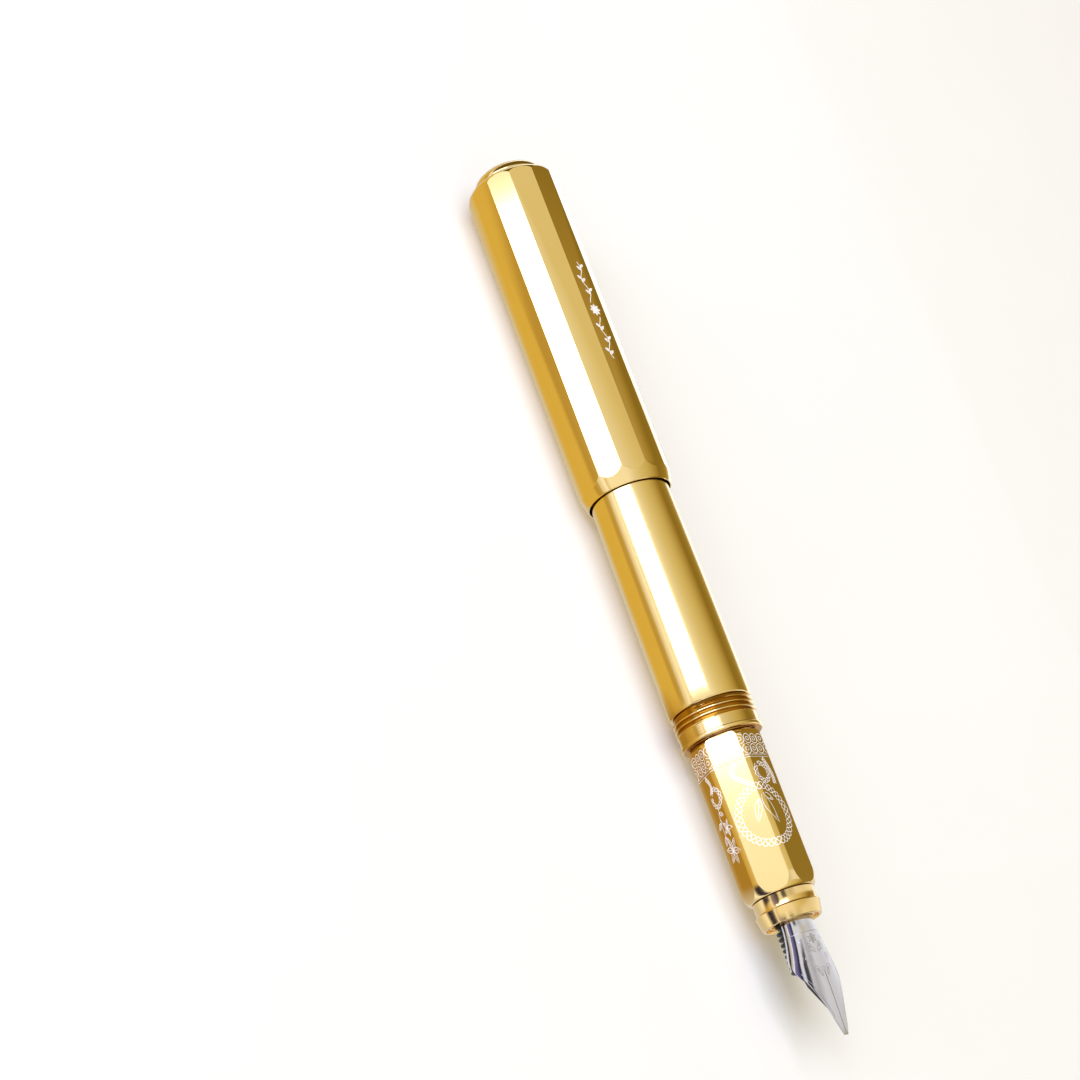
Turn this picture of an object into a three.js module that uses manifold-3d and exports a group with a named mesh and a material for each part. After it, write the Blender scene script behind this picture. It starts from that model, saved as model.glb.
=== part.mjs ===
// A metal fountain pen with its cap posted on the back of the barrel, lying on one facet of the cap.
// Lengths are millimetres. A station is a distance along the pen from the point of the nib.
// Profiles are lists of [station, radius] pairs.
import * as THREE from 'three';
import { mergeVertices } from 'three/addons/utils/BufferGeometryUtils.js';
import Module from 'manifold-3d';

const wasm = await Module();
wasm.setup();

// Driving dimensions
const PEN_LENGTH = 145.5;
const FIT_GAP = 0.3;
const SEAM_GAP = 0.12;
const EDGE_BREAK = 0.1;
const CUTTER_OVERRUN = 1;

const CAP_FACETS = 12;
const CAP_APOTHEM = 7.08;
const CAP_BLANK_RADIUS = 7.42;
const CAP_LIP = 85.5;
const CAP_LIP_RADIUS = 6.65;
const CAP_TAPER_END = 88.6;
const CAP_FACET_START = 87.2;
const CAP_TOP = 142.5;
const CAP_TOP_RADIUS = 5.75;
const CAP_SHOULDER_LENGTH = 2.1;
const CAP_BORE_MOUTH_RADIUS = 6.45;
const CAP_BORE_RADIUS = 6.32;
const CAP_MOUTH_DEPTH = 12;
const CAP_BORE_STEP = 2;
const CAP_END_WALL = 2.9;
const FINIAL_RADIUS = 5.65;
const FINIAL_STEM_RADIUS = 1.5;
const FINIAL_STEM_OVERHANG = 3.1;
const FINIAL_RIM = 0.32;
const LINER_WALL = 0.9;
const LINER_GAP_TO_TAIL = 1.8;
const NUT_APOTHEM = 2.9;
const NUT_THICKNESS = 1.4;

const BARREL_FRONT = 50.4;
const BARREL_RADIUS = 6.31;
const BARREL_RADIUS_AT_LIP = 6.15;
const BARREL_BACK_RADIUS = 5.85;
const BARREL_BACK = 114.6;
const BARREL_BORE_RADIUS = 5.05;
const TAIL_END = 118.6;
const TAIL_RADIUS = 5.2;
const TAIL_FLUTES = 18;
const TAIL_SPIGOT_LENGTH = 5;
const FLUTE_DEPTH = 0.3;

const FLANGE_FRONT = 45.3;
const FLANGE_BACK = 45.95;
const FLANGE_RADIUS = 6.15;
const CAP_THREAD_FRONT = 47.8;
const CAP_THREAD_PITCH = 0.8;
const CAP_THREAD_TURNS = 3;
const CAP_THREAD_DEPTH = 0.34;

const GRIP_FRONT = 21.25;
const GRIP_RADIUS = 5.43;
const GRIP_APOTHEM = 4.9;
const GRIP_FLATS = 6;
const GRIP_NOSE_RADIUS = 4.66;
const GRIP_TAPER_LENGTH = 2.5;
const SHANK_RADIUS = 4.6;
const SHANK_BACK = 57.5;
const SHANK_THREAD_RISE = 0.1;
const O_RING_WIRE_RADIUS = 0.17;
const SECTION_BORE_RADIUS = 3.65;
const SECTION_BACK_BORE_RADIUS = 4.0;
const NOSE_FRONT = 17.15;
const NOSE_RIM_RADIUS = 4.38;
const NOSE_EDGE = 19.1;
const NOSE_EDGE_RADIUS = 4.8;
const NOSE_NECK_RADIUS = 4.52;
const NOSE_MOUTH_RADIUS = 3.95;

const NIB_THICKNESS = 0.4;
const NIB_BACK = 27;
const NIB_SHANK_RADIUS = 2.75;
const NIB_WIDEST_ANGLE = 0.978;
const NIB_SLIT_WIDTH = 0.16;
const NIB_SLIT_END = 11;
const FEED_RADIUS = 2.7;
const FEED_CORE_RADIUS = 2.0;
const FEED_FINS = 7;
const FEED_FIN_PITCH = 0.81;
const FEED_FIRST_SLOT = 10.6;
const FEED_SLOT_WIDTH = 0.4;
const FEED_SLOT_FLOOR = 1.5;
const FEED_TIP = 2.9;
const FEED_BACK = 30.5;
const COLLAR_LENGTH = 3.05;
const COLLAR_WALL = 0.32;
const HOUSING_BORE_RADIUS = 3.05;
const HOUSING_FLOOR = 1.4;
const NIPPLE_RADIUS = 2.0;
const NIPPLE_BACK = 41;
const INK_BORE_RADIUS = 0.6;

const CONVERTER_FRONT = 34.5;
const CONVERTER_RADIUS = 3.6;
const CONVERTER_BORE_RADIUS = 3.0;
const CONVERTER_MOUTH_LENGTH = 3;
const CONVERTER_SLEEVE_LENGTH = 12.3;
const CONVERTER_SLEEVE_WALL = 0.3;
const CONVERTER_RINGS = 5;
const CONVERTER_TUBE_BACK = 79;
const CONVERTER_COLLAR_BACK = 87;
const KNOB_BACK = 106.5;
const KNOB_RADIUS = 3.5;
const KNOB_FLUTES = 18;
const KNOB_CROWN = 0.7;
const KNOB_STEP = 0.35;
const PISTON_FRONT = 42.6;
const PISTON_ROD_RADIUS = 1.2;
const PISTON_HEAD_RADIUS = 2.2;
const PISTON_HEAD_THICKNESS = 0.5;
const SEAL_LENGTH = 3.2;
const SEAL_LIP = 0.6;
const SEAL_WAIST = 0.35;

// Rolls about the pen's axis, in degrees from straight up
const NIB_ROLL = -12;
const GRIP_ROLL = 6.7;

const ROUND_SIDES = 48;
const SMALL_SIDES = 24;

const GOLD = { color: 0xd8a544, roughness: 0.16, metalness: 1 };
const STEEL = { color: 0xc9cacf, roughness: 0.18, metalness: 1 };
const BLACK_PLASTIC = { color: 0x141416, roughness: 0.45, metalness: 0 };
const RUBBER = { color: 0x1b1b1c, roughness: 0.8, metalness: 0 };
const CLEAR_PLASTIC = { color: 0xdfe6ea, roughness: 0.08, metalness: 0 };

// A geometry with shared vertices, position only and faces that point outwards.
function closed(geometry) {
  const bare = geometry.clone();
  bare.deleteAttribute('normal');
  bare.deleteAttribute('uv');
  const merged = mergeVertices(bare, 1e-4);
  const position = merged.attributes.position;
  const index = merged.index.array;
  const corner = [new THREE.Vector3(), new THREE.Vector3(), new THREE.Vector3()];
  const kept = [];
  let volume = 0;
  for (let i = 0; i < index.length; i += 3) {
    const ids = [index[i], index[i + 1], index[i + 2]];
    if (ids[0] === ids[1] || ids[1] === ids[2] || ids[0] === ids[2]) continue;
    ids.forEach((id, k) => corner[k].fromBufferAttribute(position, id));
    volume += corner[0].dot(corner[1].clone().cross(corner[2]));
    kept.push(...ids);
  }
  if (volume < 0) kept.reverse();
  merged.setIndex(kept);
  return merged;
}

function solid(geometry) {
  const mesh = closed(geometry);
  const vertProperties = new Float32Array(mesh.attributes.position.array);
  const triVerts = new Uint32Array(mesh.index.array);
  return new wasm.Manifold(new wasm.Mesh({ numProp: 3, vertProperties, triVerts }));
}

function geometryOf(body) {
  const mesh = body.getMesh();
  const geometry = new THREE.BufferGeometry();
  geometry.setAttribute('position', new THREE.BufferAttribute(mesh.vertProperties, 3));
  geometry.setIndex(new THREE.BufferAttribute(mesh.triVerts, 1));
  return geometry;
}

// Turns a profile about the pen's axis, which is the lathe's own Y axis.
function turned(profile, sides = ROUND_SIDES) {
  const points = profile.map(([station, radius]) => new THREE.Vector2(radius, station));
  return new THREE.LatheGeometry(points, sides);
}

// Closes a profile on itself, for a piece with a hole along its axis.
function turnedRing(profile, sides = ROUND_SIDES) {
  return turned([...profile, profile[0]], sides);
}

// Points on a quarter of an ellipse from [station, radius] `from` to `to`, bulging outwards.
function roundedStep(from, to, steps) {
  const points = [];
  for (let i = 0; i <= steps; i += 1) {
    const angle = (Math.PI / 2) * (i / steps);
    const station = from[0] + (to[0] - from[0]) * Math.sin(angle);
    const radius = to[1] + (from[1] - to[1]) * Math.cos(angle);
    points.push([station, radius]);
  }
  return points;
}

// A prism along the pen's axis between two stations.
function prism(shape, front, back) {
  const geometry = new THREE.ExtrudeGeometry(shape, { depth: back - front, bevelEnabled: false });
  geometry.rotateX(-Math.PI / 2);
  geometry.translate(0, front, 0);
  return geometry;
}

function polygonShape(sides, apothem) {
  const radius = apothem / Math.cos(Math.PI / sides);
  const shape = new THREE.Shape();
  for (let i = 0; i < sides; i += 1) {
    const angle = (i + 0.5) * ((2 * Math.PI) / sides) + Math.PI / 2;
    const x = radius * Math.cos(angle);
    const y = radius * Math.sin(angle);
    if (i === 0) shape.moveTo(x, y);
    else shape.lineTo(x, y);
  }
  shape.closePath();
  return shape;
}

// A round outline whose radius falls into a shallow flute at even steps.
function flutedShape(flutes, radius, depth) {
  const pointsPerFlute = 4;
  const count = flutes * pointsPerFlute;
  const shape = new THREE.Shape();
  for (let i = 0; i < count; i += 1) {
    const angle = (2 * Math.PI * i) / count;
    const cut = depth * (0.5 - 0.5 * Math.cos(flutes * angle)) ** 2;
    const x = (radius - cut) * Math.cos(angle);
    const y = (radius - cut) * Math.sin(angle);
    if (i === 0) shape.moveTo(x, y);
    else shape.lineTo(x, y);
  }
  shape.closePath();
  return shape;
}

function piece(name, geometry, finish) {
  const material = new THREE.MeshStandardMaterial(finish);
  const mesh = new THREE.Mesh(geometry, material);
  mesh.name = name;
  return mesh;
}

// Cap: a faceted tube with a turned taper at the lip and a rounded shoulder at the top.
function capShell() {
  const shoulder = CAP_TOP - CAP_SHOULDER_LENGTH;
  const before = CAP_LIP - CUTTER_OVERRUN;
  const beyond = CAP_TOP + CUTTER_OVERRUN;
  const mouthEnd = CAP_LIP + CAP_MOUTH_DEPTH;
  const blank = turned([
    [CAP_LIP, 0],
    [CAP_LIP, CAP_LIP_RADIUS - EDGE_BREAK],
    [CAP_LIP + EDGE_BREAK, CAP_LIP_RADIUS],
    [(CAP_LIP + CAP_FACET_START) / 2, (CAP_LIP_RADIUS + CAP_APOTHEM) / 2],
    [CAP_FACET_START, CAP_APOTHEM],
    [CAP_TAPER_END, CAP_BLANK_RADIUS],
    ...roundedStep([shoulder, CAP_BLANK_RADIUS], [CAP_TOP, CAP_TOP_RADIUS], 6),
    [CAP_TOP, 0],
  ]);
  const bore = turned([
    [before, 0],
    [before, CAP_BORE_MOUTH_RADIUS],
    [mouthEnd, CAP_BORE_MOUTH_RADIUS],
    [mouthEnd + CAP_BORE_STEP, CAP_BORE_RADIUS],
    [CAP_TOP - CAP_END_WALL, CAP_BORE_RADIUS],
    [CAP_TOP - CAP_END_WALL, FINIAL_STEM_RADIUS + FIT_GAP],
    [beyond, FINIAL_STEM_RADIUS + FIT_GAP],
    [beyond, 0],
  ]);
  const facets = prism(polygonShape(CAP_FACETS, CAP_APOTHEM), before, beyond);
  return geometryOf(solid(blank).intersect(solid(facets)).subtract(solid(bore)));
}

// Finial: a domed button whose stem passes through the cap's end wall.
function capFinial() {
  const seat = CAP_TOP + SEAM_GAP;
  const stemEnd = CAP_TOP - CAP_END_WALL - FINIAL_STEM_OVERHANG;
  return turned([
    [stemEnd, 0],
    [stemEnd, FINIAL_STEM_RADIUS],
    [seat, FINIAL_STEM_RADIUS],
    [seat, FINIAL_RADIUS - EDGE_BREAK],
    ...roundedStep([seat + FINIAL_RIM, FINIAL_RADIUS], [PEN_LENGTH, 0], 6),
  ]);
}

// Liner: the plastic inner cap that closes over the nib and stops it drying out.
function capLiner() {
  const back = CAP_TOP - CAP_END_WALL - FIT_GAP;
  const front = TAIL_END + LINER_GAP_TO_TAIL;
  const outer = CAP_BORE_RADIUS - FIT_GAP;
  const inner = outer - LINER_WALL;
  const hole = FINIAL_STEM_RADIUS + FIT_GAP;
  return turnedRing([
    [front, outer - LINER_WALL / 2],
    [front, outer],
    [back, outer],
    [back, hole],
    [back - LINER_WALL, hole],
    [back - LINER_WALL, inner],
    [front + LINER_WALL / 2, inner],
  ], SMALL_SIDES);
}

// Nut: clamps the liner to the cap's end wall.
function finialNut() {
  const back = CAP_TOP - CAP_END_WALL - FIT_GAP - LINER_WALL - FIT_GAP;
  const hole = new THREE.Path();
  hole.absarc(0, 0, FINIAL_STEM_RADIUS + FIT_GAP, 0, 2 * Math.PI, true);
  const shape = polygonShape(6, NUT_APOTHEM);
  shape.holes.push(hole);
  return prism(shape, back - NUT_THICKNESS, back);
}

// Barrel: a slightly barrelled tube, bored from the front for the converter.
function barrel() {
  const fullest = (BARREL_FRONT + CAP_LIP) / 2 - 7;
  const roundingStart = [BARREL_BACK - 1, BARREL_BACK_RADIUS - EDGE_BREAK];
  const roundingEnd = [BARREL_BACK, BARREL_BACK_RADIUS - 0.4];
  return turnedRing([
    [BARREL_FRONT, BARREL_BORE_RADIUS],
    [BARREL_FRONT, BARREL_RADIUS - 2 * EDGE_BREAK],
    [BARREL_FRONT + EDGE_BREAK, BARREL_RADIUS - EDGE_BREAK],
    [BARREL_FRONT + 1.6, BARREL_RADIUS],
    [fullest, BARREL_RADIUS],
    [CAP_LIP, BARREL_RADIUS_AT_LIP],
    [BARREL_BACK - 2.4, BARREL_BACK_RADIUS],
    ...roundedStep(roundingStart, roundingEnd, 3),
    [BARREL_BACK, BARREL_BORE_RADIUS],
  ]);
}

// Tail: a fluted plug that closes the back of the barrel, hollow so that the converter can slide back.
function barrelTail() {
  const front = BARREL_BACK + SEAM_GAP;
  const spigotFront = front - TAIL_SPIGOT_LENGTH;
  const spigot = BARREL_BORE_RADIUS - FIT_GAP;
  const pocket = KNOB_RADIUS + FIT_GAP;
  const fluteEnd = TAIL_END - 0.7;
  const plug = turned([
    [front, 0],
    [front, pocket],
    [spigotFront, pocket],
    [spigotFront, spigot - EDGE_BREAK],
    [spigotFront + EDGE_BREAK, spigot],
    [fluteEnd - EDGE_BREAK, spigot],
    ...roundedStep([fluteEnd, TAIL_RADIUS - 0.4], [TAIL_END, 0], 5),
  ]);
  const rim = prism(flutedShape(TAIL_FLUTES, TAIL_RADIUS, FLUTE_DEPTH), front, fluteEnd);
  return geometryOf(solid(plug).add(solid(rim)));
}

// Thread collar: flange, plain band and the thread that the cap's mouth screws onto.
function capThreadCollar() {
  const bore = SHANK_RADIUS + FIT_GAP;
  const band = FLANGE_RADIUS - EDGE_BREAK;
  const crest = FLANGE_RADIUS - 0.02;
  const root = crest - CAP_THREAD_DEPTH;
  const back = BARREL_FRONT - SEAM_GAP;
  const profile = [
    [FLANGE_FRONT, bore],
    [FLANGE_FRONT, FLANGE_RADIUS - EDGE_BREAK],
    [FLANGE_FRONT + EDGE_BREAK, FLANGE_RADIUS],
    [FLANGE_BACK - EDGE_BREAK, FLANGE_RADIUS],
    [FLANGE_BACK, band],
    [CAP_THREAD_FRONT - EDGE_BREAK, band],
  ];
  for (let turn = 0; turn < CAP_THREAD_TURNS; turn += 1) {
    const start = CAP_THREAD_FRONT + turn * CAP_THREAD_PITCH;
    profile.push([start, root], [start + CAP_THREAD_PITCH * 0.2, root]);
    profile.push([start + CAP_THREAD_PITCH * 0.5, crest], [start + CAP_THREAD_PITCH * 0.7, crest]);
  }
  profile.push([back - EDGE_BREAK, root], [back, root], [back, bore]);
  return turnedRing(profile);
}

// Grip section: six flats cut on a turned tube, with a threaded shank that screws into the barrel.
function gripSection() {
  const front = GRIP_FRONT;
  const before = front - CUTTER_OVERRUN;
  const beyond = SHANK_BACK + CUTTER_OVERRUN;
  const taperEnd = front + GRIP_TAPER_LENGTH;
  const shoulder = FLANGE_FRONT - SEAM_GAP;
  const taper = roundedStep([taperEnd, GRIP_RADIUS], [front, GRIP_NOSE_RADIUS], 7).reverse();
  const blank = turned([
    [front, 0],
    ...taper,
    [shoulder - 0.45, GRIP_RADIUS],
    [shoulder, GRIP_APOTHEM],
    [shoulder, SHANK_RADIUS],
    [BARREL_FRONT, SHANK_RADIUS],
    [BARREL_FRONT + 0.5, SHANK_RADIUS + SHANK_THREAD_RISE],
    [SHANK_BACK - 0.4, SHANK_RADIUS + SHANK_THREAD_RISE],
    [SHANK_BACK, SHANK_RADIUS - EDGE_BREAK],
    [SHANK_BACK, 0],
  ]);
  const bore = turned([
    [before, 0],
    [before, SECTION_BORE_RADIUS],
    [CONVERTER_FRONT - 1.5, SECTION_BORE_RADIUS],
    [CONVERTER_FRONT - 1.1, SECTION_BACK_BORE_RADIUS],
    [beyond, SECTION_BACK_BORE_RADIUS],
    [beyond, 0],
  ]);
  const flats = prism(polygonShape(GRIP_FLATS, GRIP_APOTHEM), before, beyond);
  return geometryOf(solid(blank).intersect(solid(flats)).subtract(solid(bore)));
}

// Nose ring: a neck and a flared ring at the front of the grip.
function noseRing() {
  const back = GRIP_FRONT - SEAM_GAP;
  const neckFront = NOSE_EDGE + 0.24;
  return turnedRing([
    [NOSE_FRONT, NOSE_MOUTH_RADIUS],
    [NOSE_FRONT, NOSE_RIM_RADIUS - EDGE_BREAK],
    [NOSE_FRONT + EDGE_BREAK, NOSE_RIM_RADIUS],
    [NOSE_EDGE - EDGE_BREAK, NOSE_EDGE_RADIUS - EDGE_BREAK / 2],
    [NOSE_EDGE, NOSE_EDGE_RADIUS],
    [NOSE_EDGE + EDGE_BREAK, NOSE_EDGE_RADIUS - EDGE_BREAK / 2],
    [neckFront, NOSE_NECK_RADIUS],
    [back, NOSE_NECK_RADIUS],
    [back, SECTION_BORE_RADIUS],
    [NOSE_EDGE, SECTION_BORE_RADIUS],
    [NOSE_EDGE, NOSE_MOUTH_RADIUS],
  ]);
}

// O-ring: sits just behind the end of the section's shank, against the bore of the barrel.
function sectionORing() {
  const section = new THREE.Shape();
  const centreRadius = BARREL_BORE_RADIUS - O_RING_WIRE_RADIUS - 0.035;
  const centreStation = SHANK_BACK + 2 * FIT_GAP;
  section.absarc(0, 0, O_RING_WIRE_RADIUS, 0, 2 * Math.PI, false);
  const profile = section.getPoints(5).slice(0, -1);
  const loop = profile.map((point) => [centreStation + point.y, centreRadius + point.x]);
  return turnedRing(loop, SMALL_SIDES);
}

// Station, height, half width and cross-section radius of the nib's upper face along its length.
const NIB_LINE = [
  [0, 2.42, 0.3, 12],
  [1.7, 2.52, 0.8, 12],
  [3.9, 2.66, 1.38, 12],
  [7.3, 2.84, 2.55, 9],
  [9, 2.88, 3.25, 4.6],
  [10.3, 2.9, 3.64, 4.1],
  [12, 2.92, 3.45, 3.5],
  [14.2, 2.9, 2.98, 3.05],
  [16.6, NIB_SHANK_RADIUS, 2.68, NIB_SHANK_RADIUS],
];
const nibPoints = NIB_LINE.map(([, ...section]) => new THREE.Vector3(...section));
const nibCurve = new THREE.CatmullRomCurve3(nibPoints, false, 'centripetal');

// The nib's section at a station, read between the stations of its line.
function nibAt(station) {
  const last = NIB_LINE.length - 1;
  const next = NIB_LINE.findIndex(([value]) => value > station);
  if (next < 0) return nibCurve.getPoint(1);
  const [from] = NIB_LINE[next - 1];
  const [to] = NIB_LINE[next];
  const share = (station - from) / (to - from);
  return nibCurve.getPoint((next - 1 + share) / last);
}

// Nib: a flat blank, bent to its line, with the slit cut from the point.
function nib() {
  const blank = new THREE.BoxGeometry(2, NIB_BACK, 1, 8, 27, 1);
  blank.translate(0, NIB_BACK / 2, 0);
  const position = blank.attributes.position;
  for (let i = 0; i < position.count; i += 1) {
    const station = position.getY(i);
    const { x: height, y: halfWidth, z: radius } = nibAt(station);
    const depth = position.getZ(i) > 0 ? 0 : NIB_THICKNESS;
    const angle = position.getX(i) * Math.asin(Math.min(halfWidth / radius, NIB_WIDEST_ANGLE));
    const x = (radius - depth) * Math.sin(angle);
    const z = height - radius + (radius - depth) * Math.cos(angle);
    position.setXYZ(i, x, station, z);
  }
  const slit = new THREE.BoxGeometry(NIB_SLIT_WIDTH, NIB_SLIT_END + CUTTER_OVERRUN, 4);
  slit.translate(0, (NIB_SLIT_END - CUTTER_OVERRUN) / 2, NIB_SHANK_RADIUS);
  return geometryOf(solid(blank).subtract(solid(slit)));
}

// Feed: a finned plastic core that lies under the nib and carries the ink.
function feed() {
  const core = turned([
    [FEED_TIP, 0],
    [FEED_TIP, FEED_CORE_RADIUS],
    [FEED_BACK, FEED_CORE_RADIUS],
    [FEED_BACK, 0],
  ], SMALL_SIDES);
  const belly = turned([
    [FEED_TIP, 0],
    [FEED_TIP, FEED_RADIUS],
    [NIB_BACK + 1, FEED_RADIUS],
    [NIB_BACK + 1, 0],
  ], SMALL_SIDES);
  const lower = new THREE.BoxGeometry(8, 60, 4);
  lower.translate(0, 20, -1.85);
  let body = solid(core).add(solid(belly).intersect(solid(lower)));
  for (let fin = 0; fin < FEED_FINS; fin += 1) {
    const start = FEED_FIRST_SLOT + fin * FEED_FIN_PITCH;
    const end = start + FEED_SLOT_WIDTH;
    const slot = turnedRing([
      [start, FEED_SLOT_FLOOR],
      [start, FEED_RADIUS + CUTTER_OVERRUN],
      [end, FEED_RADIUS + CUTTER_OVERRUN],
      [end, FEED_SLOT_FLOOR],
    ], SMALL_SIDES);
    body = body.subtract(solid(slot).intersect(solid(lower)));
  }
  // The wedge takes away the underside of the feed towards its tip.
  const wedge = new THREE.Shape();
  wedge.moveTo(FEED_TIP - 1, -4);
  wedge.lineTo(10.4, -4);
  wedge.lineTo(9.8, -2.3);
  wedge.quadraticCurveTo(6.2, 0.2, FEED_TIP - 1, 1.75);
  wedge.closePath();
  const under = new THREE.ExtrudeGeometry(wedge, { depth: 8, bevelEnabled: false, curveSegments: 8 });
  under.translate(0, 0, -4);
  under.applyMatrix4(new THREE.Matrix4().makeBasis(
    new THREE.Vector3(0, 1, 0),
    new THREE.Vector3(0, 0, 1),
    new THREE.Vector3(1, 0, 0),
  ));
  return geometryOf(body.subtract(solid(under)));
}

// Nib collar: a thin sleeve round nib and feed, inside the nose ring's mouth.
function nibCollar() {
  const front = NOSE_FRONT + 0.25;
  const back = front + COLLAR_LENGTH;
  const outer = HOUSING_BORE_RADIUS + COLLAR_WALL;
  return turnedRing([
    [front, HOUSING_BORE_RADIUS],
    [front, outer],
    [back, outer],
    [back, HOUSING_BORE_RADIUS],
  ], SMALL_SIDES);
}

// Housing: the sleeve that grips nib and feed, with the nipple that the converter pushes onto.
function nibHousing() {
  const front = NOSE_FRONT + 0.25 + COLLAR_LENGTH + FIT_GAP;
  const outer = SECTION_BORE_RADIUS - 0.28;
  const floor = FEED_BACK + FIT_GAP;
  const nippleFront = floor + HOUSING_FLOOR;
  return turnedRing([
    [front, HOUSING_BORE_RADIUS],
    [front, outer],
    [nippleFront, outer],
    [nippleFront, NIPPLE_RADIUS],
    [NIPPLE_BACK - 0.5, NIPPLE_RADIUS],
    [NIPPLE_BACK, NIPPLE_RADIUS - 0.3],
    [NIPPLE_BACK, INK_BORE_RADIUS],
    [floor, INK_BORE_RADIUS],
    [floor, HOUSING_BORE_RADIUS],
  ], SMALL_SIDES);
}

// Converter: a clear tube whose stepped mouth pushes onto the housing's nipple.
function converterTube() {
  const mouth = NIPPLE_RADIUS + FIT_GAP;
  const mouthEnd = CONVERTER_FRONT + CONVERTER_MOUTH_LENGTH;
  return turnedRing([
    [CONVERTER_FRONT, mouth],
    [CONVERTER_FRONT, CONVERTER_RADIUS - 0.5],
    [mouthEnd, CONVERTER_RADIUS - 0.4],
    [mouthEnd + EDGE_BREAK, CONVERTER_RADIUS],
    [CONVERTER_TUBE_BACK, CONVERTER_RADIUS],
    [CONVERTER_TUBE_BACK, CONVERTER_BORE_RADIUS],
    [PISTON_FRONT - 0.4, CONVERTER_BORE_RADIUS],
    [PISTON_FRONT - 0.8, mouth],
  ], SMALL_SIDES);
}

// Sleeve: a plain band pressed round the back of the converter's tube.
function converterSleeve() {
  const back = CONVERTER_TUBE_BACK - 0.2;
  const front = back - CONVERTER_SLEEVE_LENGTH;
  const inner = CONVERTER_RADIUS + 0.25;
  const outer = inner + CONVERTER_SLEEVE_WALL;
  return turnedRing([
    [front, inner],
    [front, outer],
    [back, outer],
    [back, inner],
  ], SMALL_SIDES);
}

// Collar: a ringed metal nut that holds the converter's screw.
function converterCollar() {
  const front = CONVERTER_TUBE_BACK + FIT_GAP;
  const pitch = (CONVERTER_COLLAR_BACK - front) / CONVERTER_RINGS;
  const crest = CONVERTER_RADIUS + 0.5;
  const groove = crest - 0.25;
  const inner = PISTON_ROD_RADIUS + FIT_GAP;
  const profile = [[front, inner]];
  for (let ring = 0; ring < CONVERTER_RINGS; ring += 1) {
    const start = front + ring * pitch;
    const end = start + pitch - EDGE_BREAK;
    profile.push([start, groove], [start + 0.25, crest], [end - 0.25, crest], [end, groove]);
  }
  profile.push([CONVERTER_COLLAR_BACK, groove], [CONVERTER_COLLAR_BACK, inner]);
  return turnedRing(profile, SMALL_SIDES);
}

// Knob: fluted, and bored for the piston's rod to draw back into.
function converterKnob() {
  const front = CONVERTER_COLLAR_BACK + FIT_GAP;
  const crown = KNOB_BACK - KNOB_CROWN;
  const fluteBack = crown - EDGE_BREAK;
  const end = turned([
    [crown - KNOB_CROWN, 0],
    [crown - KNOB_CROWN, KNOB_RADIUS - KNOB_STEP],
    ...roundedStep([crown, KNOB_RADIUS - KNOB_STEP], [KNOB_BACK, 0], 4),
  ], SMALL_SIDES);
  const grip = prism(flutedShape(KNOB_FLUTES, KNOB_RADIUS, FLUTE_DEPTH), front, fluteBack);
  const bore = turned([
    [front - CUTTER_OVERRUN, 0],
    [front - CUTTER_OVERRUN, PISTON_ROD_RADIUS + FIT_GAP],
    [KNOB_BACK - CUTTER_OVERRUN, PISTON_ROD_RADIUS + FIT_GAP],
    [KNOB_BACK - CUTTER_OVERRUN, 0],
  ], SMALL_SIDES);
  return geometryOf(solid(grip).add(solid(end)).subtract(solid(bore)));
}

// Piston rod: a flat head that carries the seal, and a rod that the knob's screw draws back.
function pistonRod() {
  const headBack = PISTON_FRONT + PISTON_HEAD_THICKNESS;
  const rodBack = CONVERTER_COLLAR_BACK - 1;
  return turned([
    [PISTON_FRONT, 0],
    [PISTON_FRONT, PISTON_HEAD_RADIUS],
    [headBack, PISTON_HEAD_RADIUS],
    [headBack, PISTON_ROD_RADIUS],
    [rodBack, PISTON_ROD_RADIUS],
    [rodBack, 0],
  ], SMALL_SIDES);
}

// Piston seal: a rubber sleeve with a lip at each end.
function pistonSeal() {
  const front = PISTON_FRONT + PISTON_HEAD_THICKNESS + FIT_GAP;
  const back = front + SEAL_LENGTH;
  const lip = CONVERTER_BORE_RADIUS - SEAM_GAP;
  const waist = lip - SEAL_WAIST;
  const inner = PISTON_ROD_RADIUS + 0.2;
  return turnedRing([
    [front, inner],
    [front, lip],
    [front + SEAL_LIP, lip],
    [front + SEAL_LIP + FIT_GAP, waist],
    [back - SEAL_LIP - FIT_GAP, waist],
    [back - SEAL_LIP, lip],
    [back, lip],
    [back, inner],
  ], SMALL_SIDES);
}

// The assembly, built along the group's Y axis from the nib's point, then laid along X.
const pen = new THREE.Group();
pen.rotation.z = Math.PI / 2;
pen.position.set(PEN_LENGTH / 2, 0, CAP_APOTHEM);

const cap = new THREE.Group();
cap.add(piece('cap_shell', capShell(), GOLD));
cap.add(piece('cap_finial', closed(capFinial()), GOLD));
cap.add(piece('cap_liner', closed(capLiner()), BLACK_PLASTIC));
cap.add(piece('finial_nut', closed(finialNut()), STEEL));

const body = new THREE.Group();
body.add(piece('barrel', closed(barrel()), GOLD));
body.add(piece('barrel_tail', barrelTail(), GOLD));

const section = new THREE.Group();
section.rotation.y = THREE.MathUtils.degToRad(GRIP_ROLL);
section.add(piece('grip_section', gripSection(), GOLD));
section.add(piece('nose_ring', closed(noseRing()), GOLD));
section.add(piece('cap_thread_collar', closed(capThreadCollar()), GOLD));
section.add(piece('section_o_ring', closed(sectionORing()), RUBBER));

const nibUnit = new THREE.Group();
nibUnit.rotation.y = THREE.MathUtils.degToRad(NIB_ROLL);
nibUnit.add(piece('nib', nib(), STEEL));
nibUnit.add(piece('feed', feed(), BLACK_PLASTIC));
nibUnit.add(piece('nib_collar', closed(nibCollar()), GOLD));
nibUnit.add(piece('nib_housing', closed(nibHousing()), BLACK_PLASTIC));

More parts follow.
